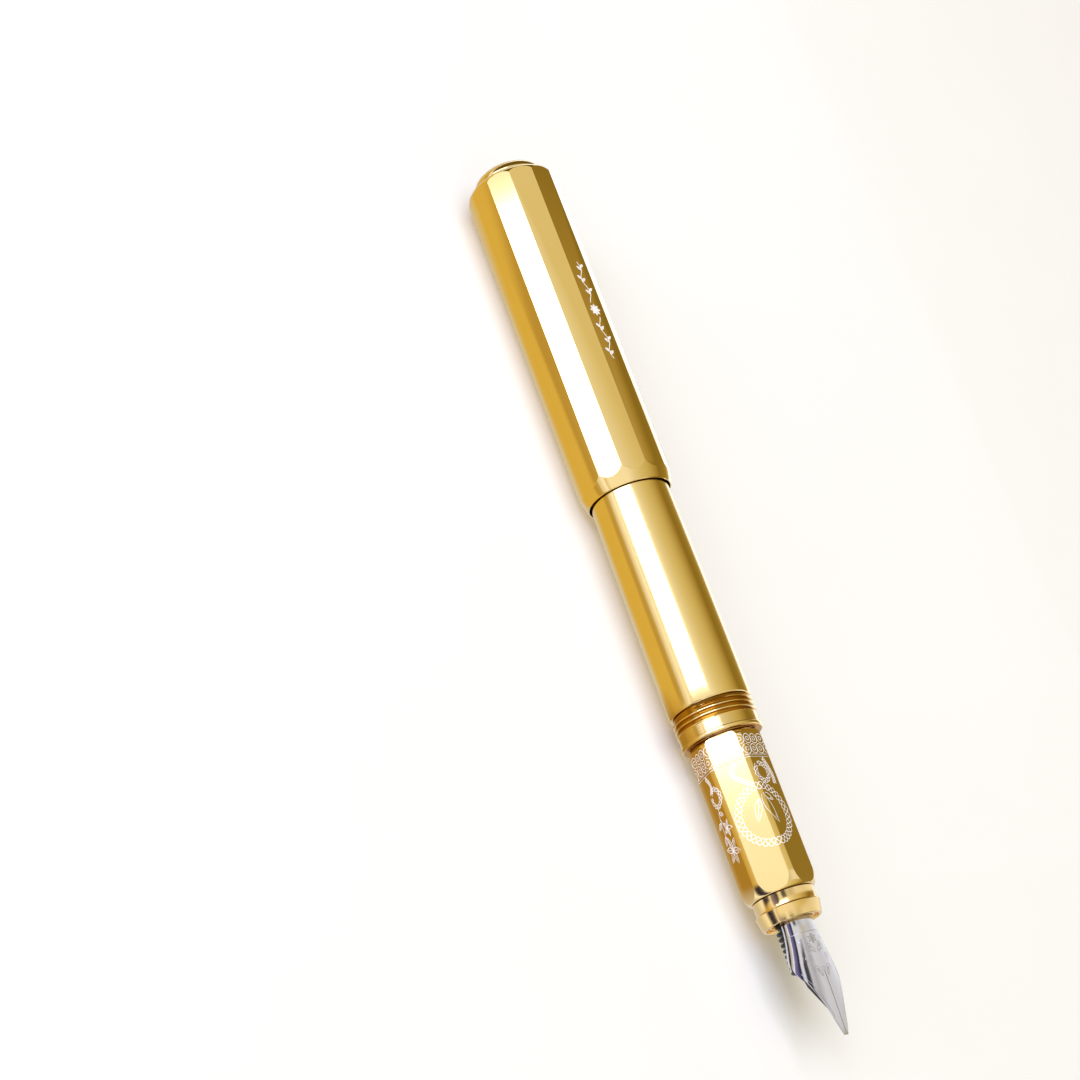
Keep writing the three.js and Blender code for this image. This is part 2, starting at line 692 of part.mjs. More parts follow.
const converter = new THREE.Group();
converter.add(piece('converter_tube', closed(converterTube()), CLEAR_PLASTIC));
converter.add(piece('converter_sleeve', closed(converterSleeve()), BLACK_PLASTIC));
converter.add(piece('converter_collar', closed(converterCollar()), STEEL));
converter.add(piece('converter_knob', converterKnob(), BLACK_PLASTIC));
converter.add(piece('piston_rod', closed(pistonRod()), BLACK_PLASTIC));
converter.add(piece('piston_seal', closed(pistonSeal()), RUBBER));

pen.add(cap, body, section, nibUnit, converter);

const group = new THREE.Group();
group.add(pen);
group.updateMatrixWorld(true);

export default group;
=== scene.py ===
import math

import bmesh
import bpy
from mathutils import Matrix, Vector


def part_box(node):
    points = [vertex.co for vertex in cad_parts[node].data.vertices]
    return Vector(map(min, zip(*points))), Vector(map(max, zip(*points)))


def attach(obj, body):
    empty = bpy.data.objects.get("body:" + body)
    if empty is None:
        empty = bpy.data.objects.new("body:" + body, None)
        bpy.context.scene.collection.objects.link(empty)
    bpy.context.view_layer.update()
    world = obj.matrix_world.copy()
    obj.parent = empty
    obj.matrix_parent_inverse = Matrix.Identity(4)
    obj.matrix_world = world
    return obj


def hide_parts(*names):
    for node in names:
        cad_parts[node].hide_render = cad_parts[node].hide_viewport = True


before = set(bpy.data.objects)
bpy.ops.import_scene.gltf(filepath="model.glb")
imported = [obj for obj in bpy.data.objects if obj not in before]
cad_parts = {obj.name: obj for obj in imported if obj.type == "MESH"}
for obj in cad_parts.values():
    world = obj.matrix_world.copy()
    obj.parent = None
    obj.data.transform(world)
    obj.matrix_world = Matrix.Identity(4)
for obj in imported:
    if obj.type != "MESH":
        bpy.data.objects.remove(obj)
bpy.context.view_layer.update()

# Camera: it looks down on the lying pen from the nib's side, rolled so that the cap is at the top.
# It stands 35 cm away and has a narrow field.
MM = 0.001
CAMERA_PLACE = Vector((117.1, -255.7, 222.4)) * MM
CAMERA_TARGET = Vector((-8.7, -15.4, 1.1)) * MM
CAMERA_ROLL = math.radians(51.6)
CAMERA_FIELD = math.radians(25.55)
camera_data = bpy.data.cameras.new("camera")
camera_data.angle = CAMERA_FIELD
camera_data.clip_start = 0.01
camera = bpy.data.objects.new("camera", camera_data)
look = (CAMERA_TARGET - CAMERA_PLACE).to_track_quat("-Z", "Y").to_matrix().to_4x4()
camera.matrix_world = Matrix.Translation(CAMERA_PLACE) @ look @ Matrix.Rotation(CAMERA_ROLL, 4, "Z")
bpy.context.scene.collection.objects.link(camera)
bpy.context.scene.camera = camera


# Floor: a plain pale sheet of card that the pen lies on, just below its lowest flat, and so wide that
# its edge stays out of view.
def linear(code):
    """An sRGB hex colour as linear values."""
    channels = [int(code[i:i + 2], 16) / 255 for i in (1, 3, 5)]
    return [c / 12.92 if c <= 0.04045 else ((c + 0.055) / 1.055) ** 2.4 for c in channels] + [1.0]


def add(tree, kind, sockets=None, stops=(), **settings):
    """Adds a node with its settings and (place, colour) stops, and sets or links its sockets."""
    node = tree.nodes.new(kind)
    for key, value in settings.items():
        setattr(node, key, value)
    for _ in stops[2:]:
        node.color_ramp.elements.new(0.5)
    for index, (place, colour) in enumerate(stops):
        node.color_ramp.elements[index].position = place
        node.color_ramp.elements[index].color = colour
    for name, value in (sockets or {}).items():
        if isinstance(value, bpy.types.NodeSocket):
            tree.links.new(value, node.inputs[name])
        else:
            node.inputs[name].default_value = value
    return node


def new_material(name):
    """An empty material's node tree, with the material."""
    material = bpy.data.materials.new(name)
    material.use_nodes = True
    material.node_tree.nodes.clear()
    return material, material.node_tree


def placed(name, shape, material):
    """Turns a bmesh into an object in the scene."""
    mesh = bpy.data.meshes.new(name)
    shape.to_mesh(mesh)
    shape.free()
    mesh.materials.append(material)
    made = bpy.data.objects.new(name, mesh)
    bpy.context.scene.collection.objects.link(made)
    return made


card, card_tree = new_material("pale_card")
card_grain = add(card_tree, "ShaderNodeTexNoise", {"Scale": 1 / (2 * MM), "Detail": 3.0})
card_tint = add(card_tree, "ShaderNodeMix", {
    "Factor": card_grain.outputs["Fac"], "A": linear("#F3F2F0"), "B": linear("#F6F5F3"),
}, data_type="RGBA")
card_face = add(card_tree, "ShaderNodeBsdfPrincipled", {
    "Base Color": card_tint.outputs["Result"], "Roughness": 0.9, "Specular IOR Level": 0.1,
})
add(card_tree, "ShaderNodeOutputMaterial", {"Surface": card_face.outputs[0]})
FLOOR_SIZE = 8000 * MM
FLOOR_DROP = 0.1 * MM
floor_shape = bmesh.new()
bmesh.ops.create_grid(floor_shape, x_segments=1, y_segments=1, size=FLOOR_SIZE,
                      matrix=Matrix.Translation((0, 0, -FLOOR_DROP)))
floor = placed("floor", floor_shape, card)


# Studio light: one big soft box low in front of the pen, a fill for the floor that the metal doesn't
# see, a room that darkens towards the back, and a bounce card that only the metal sees.
def softbox(name, elevation_deg, along, distance, size, radiance, colour):
    """An area light that faces the pen, at an elevation from the front and shifted along the pen."""
    data = bpy.data.lights.new(name, "AREA")
    data.shape = "RECTANGLE"
    data.size, data.size_y = size
    data.energy = radiance * math.pi * size[0] * size[1]
    data.color = colour
    lamp = bpy.data.objects.new(name, data)
    angle = math.radians(elevation_deg)
    place = Vector((along, -math.cos(angle) * distance, math.sin(angle) * distance))
    aim = Vector((0, -place.y, -place.z)).to_track_quat("-Z", "X")
    lamp.matrix_world = Matrix.Translation(place) @ aim.to_matrix().to_4x4()
    bpy.context.scene.collection.objects.link(lamp)
    return lamp


key_box = softbox("key_box", 30, -0.315, 0.75, (0.668, 0.30), 3.2, (0.95, 0.97, 1.3))
floor_fill = softbox("floor_fill", 70, -0.2, 1.2, (1.1, 1.1), 2.45, (0.88, 0.955, 1.18))
floor_fill.visible_glossy = False
bpy.context.scene.view_settings.view_transform = "Standard"


def shade(code, level=1.0):
    """An sRGB colour, brightened or dimmed by a level."""
    return [channel * level for channel in linear(code)[:3]] + [1.0]


world = bpy.data.worlds.new("room")
world.use_nodes = True
room_tree = world.node_tree
room_tree.nodes.clear()
heading = add(room_tree, "ShaderNodeSeparateXYZ", {
    "Vector": add(room_tree, "ShaderNodeTexCoord").outputs["Generated"],
})
front = add(room_tree, "ShaderNodeMath", {0: heading.outputs["Y"], 1: -1.0}, operation="MULTIPLY")
elevation = add(room_tree, "ShaderNodeMath", {
    0: heading.outputs["Z"], 1: front.outputs[0],
}, operation="ARCTAN2")
height = add(room_tree, "ShaderNodeMapRange", {
    "Value": elevation.outputs[0], "From Min": 0.0, "From Max": math.pi,
})
warm_room = add(room_tree, "ShaderNodeValToRGB", {"Fac": height.outputs[0]}, stops=[
    (0.0, shade("#E3CFA6")), (8 / 180, shade("#FFFDF6", 1.05)), (56 / 180, shade("#FFFDF8")),
    (70 / 180, shade("#F2EEDD", 0.95)), (82 / 180, shade("#E4DAB2")), (110 / 180, shade("#CDBE83")),
    (134 / 180, shade("#A68E48")), (142 / 180, shade("#8A7630")), (165 / 180, shade("#9A8440")),
    (1.0, shade("#BCA76A")),
])
end_on = add(room_tree, "ShaderNodeMapRange", {
    "Value": heading.outputs["X"], "From Min": -0.62, "From Max": -0.52,
}, interpolation_type="SMOOTHSTEP")
dark_end = add(room_tree, "ShaderNodeMix", {
    "Factor": end_on.outputs[0], "A": shade("#6A5A2A"), "B": warm_room.outputs[0],
}, data_type="RGBA")
room = add(room_tree, "ShaderNodeBackground", {"Color": dark_end.outputs["Result"], "Strength": 1.0})
add(room_tree, "ShaderNodeOutputWorld", {"Surface": room.outputs[0]})
bpy.context.scene.world = world

BOUNCE_FRONT = -60 * MM
BOUNCE_BACK = 110 * MM
BOUNCE_REACH = 300 * MM
bounce_material, bounce_tree = new_material("gold_bounce_card")
across = add(bounce_tree, "ShaderNodeSeparateXYZ", {
    "Vector": add(bounce_tree, "ShaderNodeTexCoord").outputs["Object"],
})
share = add(bounce_tree, "ShaderNodeMapRange", {
    "Value": across.outputs["Y"], "From Min": BOUNCE_FRONT, "From Max": BOUNCE_BACK,
})


def bounce_at(y_mm):
    return (y_mm * MM - BOUNCE_FRONT) / (BOUNCE_BACK - BOUNCE_FRONT)


long_side = add(bounce_tree, "ShaderNodeValToRGB", {"Fac": share.outputs[0]}, stops=[
    (0.0, shade("#F2EFEA")), (bounce_at(-36), shade("#EFEAE2")), (bounce_at(-30), shade("#C9B06A")),
    (bounce_at(-19), shade("#BFA050")), (bounce_at(-16), shade("#E0C468")),
    (bounce_at(-6.2), shade("#DFC062")), (bounce_at(-5.0), shade("#D9D2C4")),
    (bounce_at(24), shade("#E4DCCB")), (bounce_at(34), shade("#EAF0FF", 1.9)),
])
grip_side = add(bounce_tree, "ShaderNodeValToRGB", {"Fac": share.outputs[0]}, stops=[
    (0.0, shade("#F2EFEA")), (bounce_at(-34), shade("#E9DDC0")), (bounce_at(-20), shade("#D8BC70")),
    (bounce_at(-9), shade("#C4A052")), (bounce_at(-8), shade("#B18F42")),
    (bounce_at(-4.2), shade("#AE8A3C")), (bounce_at(-3.2), shade("#D9D2C4")),
    (bounce_at(24), shade("#E4DCCB")), (bounce_at(34), shade("#EAF0FF", 1.5)),
])
nib_side = add(bounce_tree, "ShaderNodeValToRGB", {"Fac": share.outputs[0]}, stops=[
    (0.0, shade("#8F86AC")), (bounce_at(-46), shade("#7A7196")), (bounce_at(-28), shade("#3A3446")),
    (bounce_at(-17), shade("#2C2833")), (bounce_at(-14.5), shade("#B9B6C4")),
    (bounce_at(-12), shade("#FFFFFF", 1.2)), (bounce_at(-6), shade("#D9D8DC")),
    (bounce_at(40), shade("#E8E8EC")),
])
bounce_tint = long_side.outputs[0]
for side, start, end in ((grip_side, 16, 22), (nib_side, 48, 51)):
    beyond = add(bounce_tree, "ShaderNodeMapRange", {
        "Value": across.outputs["X"], "From Min": start * MM, "From Max": end * MM,
    })
    bounce_tint = add(bounce_tree, "ShaderNodeMix", {
        "Factor": beyond.outputs[0], "A": bounce_tint, "B": side.outputs[0],
    }, data_type="RGBA").outputs["Result"]
bounce_glow = add(bounce_tree, "ShaderNodeEmission", {"Color": bounce_tint})
add(bounce_tree, "ShaderNodeOutputMaterial", {"Surface": bounce_glow.outputs[0]})
bounce_shape = bmesh.new()
bmesh.ops.create_grid(bounce_shape, x_segments=1, y_segments=1, size=1)
for vert in bounce_shape.verts:
    vert.co = (vert.co.x * BOUNCE_REACH, BOUNCE_FRONT if vert.co.y < 0 else BOUNCE_BACK, 0)


def only_for_metal(name, shape, material):
    """Adds a card that nothing sees but reflections."""
    made = placed(name, shape, material)
    for kind in ("camera", "diffuse", "transmission", "shadow", "volume_scatter"):
        setattr(made, "visible_" + kind, False)


only_for_metal("bounce_card", bounce_shape, bounce_material)

# A grey card with dark stripes, bent in a half circle over the nib, gives the steel reflections of its
# own. Near the floor it reaches further back, for the flared sides of the nib.
HOOP_RADIUS = 60 * MM
HOOP_BACK = 43 * MM
HOOP_FRONT = 70 * MM
HOOP_HEIGHT = 7 * MM
HOOP_WIDE_BACK = 30 * MM
HOOP_WIDE_HEIGHT = 32 * MM
hoop_material, hoop_tree = new_material("striped_grey_card")
hoop_centred = add(hoop_tree, "ShaderNodeMapping", {
    "Vector": add(hoop_tree, "ShaderNodeTexCoord").outputs["Object"],
    "Location": (0, 0, -HOOP_HEIGHT), "Scale": (1, -1, 1),
})
hoop_place = add(hoop_tree, "ShaderNodeSeparateXYZ", {"Vector": hoop_centred.outputs[0]})
hoop_angle = add(hoop_tree, "ShaderNodeMapRange", {
    "Value": add(hoop_tree, "ShaderNodeMath", {
        0: hoop_place.outputs["Z"], 1: hoop_place.outputs["Y"],
    }, operation="ARCTAN2").outputs[0],
    "From Min": 0.0, "From Max": math.pi,
})
stripes = add(hoop_tree, "ShaderNodeValToRGB", {"Fac": hoop_angle.outputs[0]}, stops=[
    (0.0, shade("#9D94B8")), (9 / 180, shade("#8278A4")), (16 / 180, shade("#5E5678")),
    (20 / 180, shade("#38313E")), (25 / 180, shade("#38313E")), (28 / 180, shade("#F4F4F8")),
    (37 / 180, shade("#FFFFFF")), (40 / 180, shade("#464246")), (52 / 180, shade("#545254")),
    (57 / 180, shade("#E6E3DF")), (74 / 180, shade("#CFCBC8")), (92 / 180, shade("#F6F3EF")),
    (125 / 180, shade("#EFEBE6")), (1.0, shade("#FFFFFF", 1.1)),
])
hoop_glow = add(hoop_tree, "ShaderNodeEmission", {"Color": stripes.outputs[0]})
add(hoop_tree, "ShaderNodeOutputMaterial", {"Surface": hoop_glow.outputs[0]})
hoop_shape = bmesh.new()
hoop_edge = [hoop_shape.verts.new((x, -HOOP_RADIUS, HOOP_HEIGHT)) for x in (HOOP_BACK, HOOP_FRONT)]
bmesh.ops.spin(hoop_shape, geom=hoop_edge + [hoop_shape.edges.new(hoop_edge)], cent=(0, 0, HOOP_HEIGHT),
               axis=(-1, 0, 0), angle=math.pi, steps=48)
for vert in hoop_shape.verts:
    if vert.co.y < 0 and vert.co.z < HOOP_WIDE_HEIGHT and vert.co.x < HOOP_FRONT - MM:
        vert.co.x = HOOP_WIDE_BACK
only_for_metal("nib_hoop_card", hoop_shape, hoop_material)


# Barrel: a plain aluminium tube, turned, polished and anodised gold, bored from the front.
# Everything round on the pen is turned in the same way, about the pen's axis.
barrel_low, barrel_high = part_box("barrel")
AXIS_Y = (barrel_low.y + barrel_high.y) / 2
AXIS_Z = (barrel_low.z + barrel_high.z) / 2
POINT_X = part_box("nib")[1].x
TURN_STEPS = 240


def at(station, radius, angle_deg=0.0):
    """The point at a station in mm from the nib's point, at a radius and an angle from straight up."""
    angle = math.radians(angle_deg)
    return Vector((
        POINT_X - station * MM,
        AXIS_Y - radius * MM * math.sin(angle),
        AXIS_Z + radius * MM * math.cos(angle),
    ))


def station_of(x):
    return (POINT_X - x) / MM


def ends(node):
    """The stations of a solid's front and back, and its radius, in mm."""
    low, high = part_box(node)
    return station_of(high.x), station_of(low.x), (high.y - low.y) / 2 / MM


def arc(start, end, steps=8):
    """Quarter of an ellipse between two [station, radius] points, leaving the first along the axis."""
    points = []
    for step in range(steps + 1):
        angle = math.pi / 2 * step / steps
        points.append((
            start[0] + (end[0] - start[0]) * math.sin(angle),
            end[1] + (start[1] - end[1]) * math.cos(angle),
        ))
    return points


def turned(profile, loop=False, steps=TURN_STEPS):
    """Spins a profile of (station, radius) points about the pen's axis."""
    shape = bmesh.new()
    line = [shape.verts.new(at(station, radius)) for station, radius in profile]
    edges = [shape.edges.new(pair) for pair in zip(line, line[1:])]
    if loop:
        edges.append(shape.edges.new((line[-1], line[0])))
    bmesh.ops.spin(shape, geom=line + edges, cent=(0, AXIS_Y, AXIS_Z), axis=(1, 0, 0),
                   angle=2 * math.pi, steps=steps, use_merge=True)
    bmesh.ops.remove_doubles(shape, verts=shape.verts, dist=1e-4 * MM)
    bmesh.ops.delete(shape, geom=[e for e in shape.edges if e.is_wire], context="EDGES")
    bmesh.ops.recalc_face_normals(shape, faces=shape.faces)
    return shape


def soften(shape, width, least_deg=30.0):
    """Breaks the edges sharper than an angle, as a maker takes off a burr."""
    least = math.radians(least_deg)
    edges = [e for e in shape.edges if e.is_manifold and e.calc_face_angle(0) > least]
    bmesh.ops.bevel(shape, geom=edges, offset=width * MM, offset_type="OFFSET", affect="EDGES",
                    segments=2, profile=0.5, material=-1, clamp_overlap=True)


def piece(name, shape, material, sharp_deg=30.0):
    """Turns a bmesh into a shown object, smooth except across sharp edges."""
    sharp = math.radians(sharp_deg)
    for face in shape.faces:
        face.smooth = True
    for edge in shape.edges:
        edge.smooth = not edge.is_manifold or edge.calc_face_angle(0) < sharp
    return placed(name, shape, material)


def fit(made, body, slot, *nodes):
    """Fixes a piece to a body and hides the plain solids that it stands for; slot is not used."""
    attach(made, body)
    if nodes:
        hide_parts(*nodes)


def surface_finish(tree, look, relief, colours, roughness, depth, **sockets):
    """A surface whose colour and roughness vary with one pattern where they have two values, with
    bumps in mm from another pattern."""
    tint, dull = linear(colours[0]), roughness[0]
    if len(colours) > 1:
        tint = add(tree, "ShaderNodeMix", {
            "Factor": look, "A": linear(colours[0]), "B": linear(colours[1]),
        }, data_type="RGBA").outputs["Result"]
    if len(roughness) > 1:
        dull = add(tree, "ShaderNodeMapRange", {
            "Value": look, "To Min": roughness[0], "To Max": roughness[1],
        }).outputs[0]
    bumps = add(tree, "ShaderNodeBump", {"Height": relief, "Strength": 1.0, "Distance": depth * MM})
    shader = add(tree, "ShaderNodeBsdfPrincipled", {
        "Base Color": tint, "Roughness": dull, "Normal": bumps.outputs[0], **sockets,
    })
    add(tree, "ShaderNodeOutputMaterial", {"Surface": shader.outputs[0]})
    return shader, tint


def anodised_gold(name, colour, roughness, mark_depth, groove=None):
    """Polished, gold-anodised aluminium with faint turning marks. Given two radii in mm, it has painted
    shade: from the outer radius in to the inner one the colour darkens to a third gold, at a thread's
    roots."""
    material, tree = new_material(name)
    place = add(tree, "ShaderNodeTexCoord").outputs["Object"]
    # Turning marks are a few hundredths of a millimetre apart; they are drawn at 0.2 mm to show.
    along = add(tree, "ShaderNodeMapping", {
        "Vector": place, "Scale": (1 / (0.2 * MM), 1 / (40 * MM), 1 / (40 * MM)),
    })
    marks = add(tree, "ShaderNodeTexNoise", {"Vector": along.outputs[0], "Scale": 1.0, "Detail": 2.0})
    cloud = add(tree, "ShaderNodeTexNoise", {"Vector": place, "Scale": 1 / (6 * MM), "Detail": 4.0})
    shader, tint = surface_finish(
        tree, cloud.outputs["Fac"], marks.outputs["Fac"], colour,
        (roughness - 0.025, roughness + 0.025), mark_depth, Metallic=1.0)
    # Painted shade: between the two radii the colour fades to the third, darker gold, darkest at the
    # inner one.
    if groove:
        off_axis = add(tree, "ShaderNodeMapping", {
            "Vector": place, "Location": (0, -AXIS_Y, -AXIS_Z), "Scale": (0, 1, 1),
        })
        radius = add(tree, "ShaderNodeVectorMath", {0: off_axis.outputs[0]}, operation="LENGTH")
        height = add(tree, "ShaderNodeMapRange", {
            "Value": radius.outputs["Value"], "From Min": groove[0] * MM, "From Max": groove[1] * MM,
        })
        root_shade_paint = add(tree, "ShaderNodeMix", {
            "Factor": height.outputs[0], "A": linear(colour[2]), "B": tint,
        }, data_type="RGBA")
        tree.links.new(root_shade_paint.outputs["Result"], shader.inputs["Base Color"])
    return material


GOLD = ("#F9DFA2", "#F6DA9A")
barrel_gold = anodised_gold("barrel_polished_anodised_aluminium", GOLD, 0.15, 0.0006)
BARREL_FRONT, BARREL_BACK, BARREL_RADIUS = ends("barrel")
BARREL_BORE = 5.05
CAP_LIP = station_of(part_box("cap_shell")[1].x)
barrel_shape = turned([
    (BARREL_FRONT, BARREL_BORE),
    (BARREL_FRONT, BARREL_RADIUS - 0.24),
    (BARREL_FRONT + 0.18, BARREL_RADIUS - 0.1),
    (BARREL_FRONT + 0.8, BARREL_RADIUS - 0.04),
    (BARREL_FRONT + 2.4, BARREL_RADIUS - 0.01),
    (BARREL_FRONT + 10, BARREL_RADIUS),
    (BARREL_FRONT + 20, BARREL_RADIUS - 0.04),
    (BARREL_FRONT + 34, BARREL_RADIUS - 0.17),
    (CAP_LIP + 14, BARREL_RADIUS - 0.32),
    (BARREL_BACK - 2.4, BARREL_RADIUS - 0.47),
    *arc((BARREL_BACK - 1, BARREL_RADIUS - 0.52), (BARREL_BACK, BARREL_RADIUS - 0.9)),
    (BARREL_BACK, BARREL_BORE),
], loop=True)
soften(barrel_shape, 0.05)
fit(piece("barrel_tube", barrel_shape, barrel_gold), "barrel", "gold_barrel", "barrel")


# Barrel tail: a fluted aluminium plug pressed into the back of the barrel, hidden under the posted
# cap. It is turned hollow, so that the converter has room to slide off its nipple.
def fluted(shape, front, back, flutes, depth):
    """Presses rounded flutes into the part of a turned shape between two stations."""
    for vert in shape.verts:
        station = station_of(vert.co.x)
        if front - 0.01 <= station <= back + 0.01:
            y, z = vert.co.y - AXIS_Y, vert.co.z - AXIS_Z
            radius = math.hypot(y, z)
            if radius > 1e-6:
                fall = (0.5 - 0.5 * math.cos(flutes * math.atan2(y, z))) ** 2 * depth * MM
                vert.co.y = AXIS_Y + y * (1 - fall / radius)
                vert.co.z = AXIS_Z + z * (1 - fall / radius)


TAIL_FRONT, TAIL_BACK, TAIL_RADIUS = ends("barrel_tail")
TAIL_SPIGOT = 4.75
TAIL_POCKET = 3.8
tail_shape = turned([
    (BARREL_BACK + 0.12, 0),
    (BARREL_BACK + 0.12, TAIL_POCKET),
    (TAIL_FRONT, TAIL_POCKET),
    (TAIL_FRONT, TAIL_SPIGOT - 0.2),
    (TAIL_FRONT + 0.4, TAIL_SPIGOT),
    (BARREL_BACK + 0.12, TAIL_SPIGOT),
    (BARREL_BACK + 0.12, TAIL_RADIUS - 0.35),
    (BARREL_BACK + 0.5, TAIL_RADIUS),
    (TAIL_BACK - 1.2, TAIL_RADIUS),
    (TAIL_BACK - 0.7, TAIL_RADIUS - 0.4),
    *arc((TAIL_BACK - 0.7, TAIL_RADIUS - 0.45), (TAIL_BACK, 0), 6)[1:],
])
fluted(tail_shape, BARREL_BACK + 0.45, TAIL_BACK - 1.1, 18, 0.3)
tail = piece("barrel_tail_plug", tail_shape, barrel_gold, sharp_deg=40)
fit(tail, "barrel", "gold_barrel", "barrel_tail")

# Cap: a turned aluminium tube with twelve flats milled along it, a turned taper left at the lip and
# a rounded shoulder at the closed end. Polished and anodised gold; the flats meet in crisp edges.
cap_low, cap_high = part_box("cap_shell")
CAP_TOP = station_of(cap_low.x)
CAP_APOTHEM = (cap_high.z - cap_low.z) / 2 / MM
CAP_FACETS = 12
CAP_BLANK = 7.42
CAP_LIP_RADIUS = 6.65
CAP_TOP_RADIUS = 5.75
CAP_BORE = 6.32
CAP_END_WALL = 2.9
STEM_HOLE = 1.8
cap_shape = turned([
    (CAP_LIP, CAP_BORE + 0.13),
    (CAP_LIP, CAP_LIP_RADIUS - 0.07),
    (CAP_LIP + 0.08, CAP_LIP_RADIUS),
    (CAP_LIP + 0.4, CAP_LIP_RADIUS + 0.13),
    (CAP_LIP + 0.9, CAP_LIP_RADIUS + 0.26),
    (CAP_LIP + 1.7, CAP_APOTHEM),
    (CAP_LIP + 2.4, CAP_APOTHEM + 0.18),
    (CAP_LIP + 3.4, CAP_BLANK),
    *arc((CAP_TOP - 2.1, CAP_BLANK), (CAP_TOP, CAP_TOP_RADIUS), 14),
    (CAP_TOP, STEM_HOLE),
    (CAP_TOP - CAP_END_WALL, STEM_HOLE),
    (CAP_TOP - CAP_END_WALL, CAP_BORE),
    (CAP_LIP + 14, CAP_BORE),
    (CAP_LIP + 12, CAP_BORE + 0.13),
], loop=True, steps=288)


def mill_flats(shape, count, apothem, first_deg):
    """Cuts flats along a turned shape and closes each with one flat face."""
    for index in range(count):
        angle = math.radians(first_deg + 360 / count * index)
        out = Vector((0, -math.sin(angle), math.cos(angle)))
        middle = Vector((0, AXIS_Y, AXIS_Z)) + out * apothem * MM
        cut = bmesh.ops.bisect_plane(shape, geom=shape.verts[:] + shape.edges[:] + shape.faces[:],
                                     dist=1e-5 * MM, plane_co=middle, plane_no=out, clear_outer=True)
        rim = [e for e in cut["geom_cut"] if isinstance(e, bmesh.types.BMEdge) and e.is_boundary]
        bmesh.ops.contextual_create(shape, geom=rim)
    bmesh.ops.recalc_face_normals(shape, faces=shape.faces)


mill_flats(cap_shape, CAP_FACETS, CAP_APOTHEM, 0)
cap_ridges = [e for e in cap_shape.edges if e.is_manifold and e.calc_length() > 30 * MM
              and e.calc_face_angle(0) > math.radians(20)]
bmesh.ops.bevel(cap_shape, geom=cap_ridges, offset=0.05 * MM, offset_type="OFFSET", affect="EDGES",
                segments=2, profile=0.5, material=-1)
cap_gold = anodised_gold("cap_polished_anodised_aluminium", GOLD, 0.10, 0.0004)
fit(piece("cap_tube", cap_shape, cap_gold, sharp_deg=12), "cap", "gold_cap", "cap_shell")

# Finial: a domed aluminium button with a fine groove at its seat. Its stem goes through the end of
# the cap, where the nut inside holds it.
STEM_END, FINIAL_END, FINIAL_RADIUS = ends("cap_finial")
STEM_RADIUS = 1.5
FINIAL_SEAT = CAP_TOP + 0.12
finial_shape = turned([
    (STEM_END, 0),
    (STEM_END, STEM_RADIUS - 0.15),
    (STEM_END + 0.15, STEM_RADIUS),
    (FINIAL_SEAT, STEM_RADIUS),
    (FINIAL_SEAT, FINIAL_RADIUS - 0.2),
    (FINIAL_SEAT + 0.06, FINIAL_RADIUS - 0.06),
    (FINIAL_SEAT + 0.16, FINIAL_RADIUS),
    *arc((FINIAL_SEAT + 0.32, FINIAL_RADIUS), (FINIAL_END, 0), 24),
])
fit(piece("cap_finial_button", finial_shape, cap_gold, sharp_deg=35), "cap", "gold_cap", "cap_finial")

# Thread collar: flange, plain band and three turns of thread for the cap, turned on one piece of
# aluminium, polished and anodised gold. It sits between the grip and the barrel.
FLANGE_FRONT, COLLAR_BACK, FLANGE_RADIUS = ends("cap_thread_collar")
COLLAR_BORE = 4.9
BAND_BACK = 47.6
THREAD_ROOT = FLANGE_RADIUS - 0.3
THREAD_PITCH = 0.8
collar_shape = turned([
    (FLANGE_FRONT, COLLAR_BORE),
    (FLANGE_FRONT, FLANGE_RADIUS - 0.12),
    (FLANGE_FRONT + 0.12, FLANGE_RADIUS),
    (FLANGE_FRONT + 0.53, FLANGE_RADIUS),
    (FLANGE_FRONT + 0.6, FLANGE_RADIUS - 0.12),
    (BAND_BACK, FLANGE_RADIUS - 0.1),
    (BAND_BACK + 0.1, THREAD_ROOT),
    (COLLAR_BACK, THREAD_ROOT),
    (COLLAR_BACK, COLLAR_BORE),
], loop=True)
soften(collar_shape, 0.04)
THREAD_CREST = FLANGE_RADIUS + 0.03
trim_gold = anodised_gold("trim_polished_anodised_aluminium", ("#F7D998", "#F3D28C"), 0.15, 0.0012)
# The thread's gold has painted shade: its third colour, a darker gold, is laid at the roots between the
# crests.
thread_gold_root_shade = anodised_gold("thread_anodised_aluminium_painted_root_shade", ("#F9E0A6", "#F6DA9A", "#B8842A"),
                            0.15, 0.0012, (THREAD_ROOT + 0.02, THREAD_CREST - 0.12))
fit(piece("cap_thread_ring", collar_shape, thread_gold_root_shade), "section", "gold_trim", "cap_thread_collar")

# The thread is one ridge wound on a helix, which runs out to nothing at both ends.
THREAD_TURNS = 3.2
THREAD_STEPS = 460
TOOTH_MIDDLE = 0.34
RUN_OUT_DEG = 50
SUNK = THREAD_ROOT - 0.14
thread_front = BAND_BACK - 0.52
thread_shape = bmesh.new()
tooth = [(0.06, SUNK), (0.13, THREAD_ROOT), (0.23, THREAD_CREST - 0.08), (0.27, THREAD_CREST - 0.01),
         (0.34, THREAD_CREST), (0.41, THREAD_CREST - 0.01), (0.45, THREAD_CREST - 0.08),
         (0.55, THREAD_ROOT), (0.62, SUNK)]
tooth_verts = [thread_shape.verts.new(at(thread_front + s, r)) for s, r in tooth]
tooth_face = thread_shape.faces.new(tooth_verts)
advance = -THREAD_PITCH * THREAD_TURNS / THREAD_STEPS * MM
bmesh.ops.spin(thread_shape, geom=[tooth_face] + tooth_face.edges[:] + tooth_verts,
               cent=(0, AXIS_Y, AXIS_Z), axis=(1, 0, 0), dvec=(advance, 0, 0),
               angle=2 * math.pi * THREAD_TURNS, steps=THREAD_STEPS, use_duplicate=False)
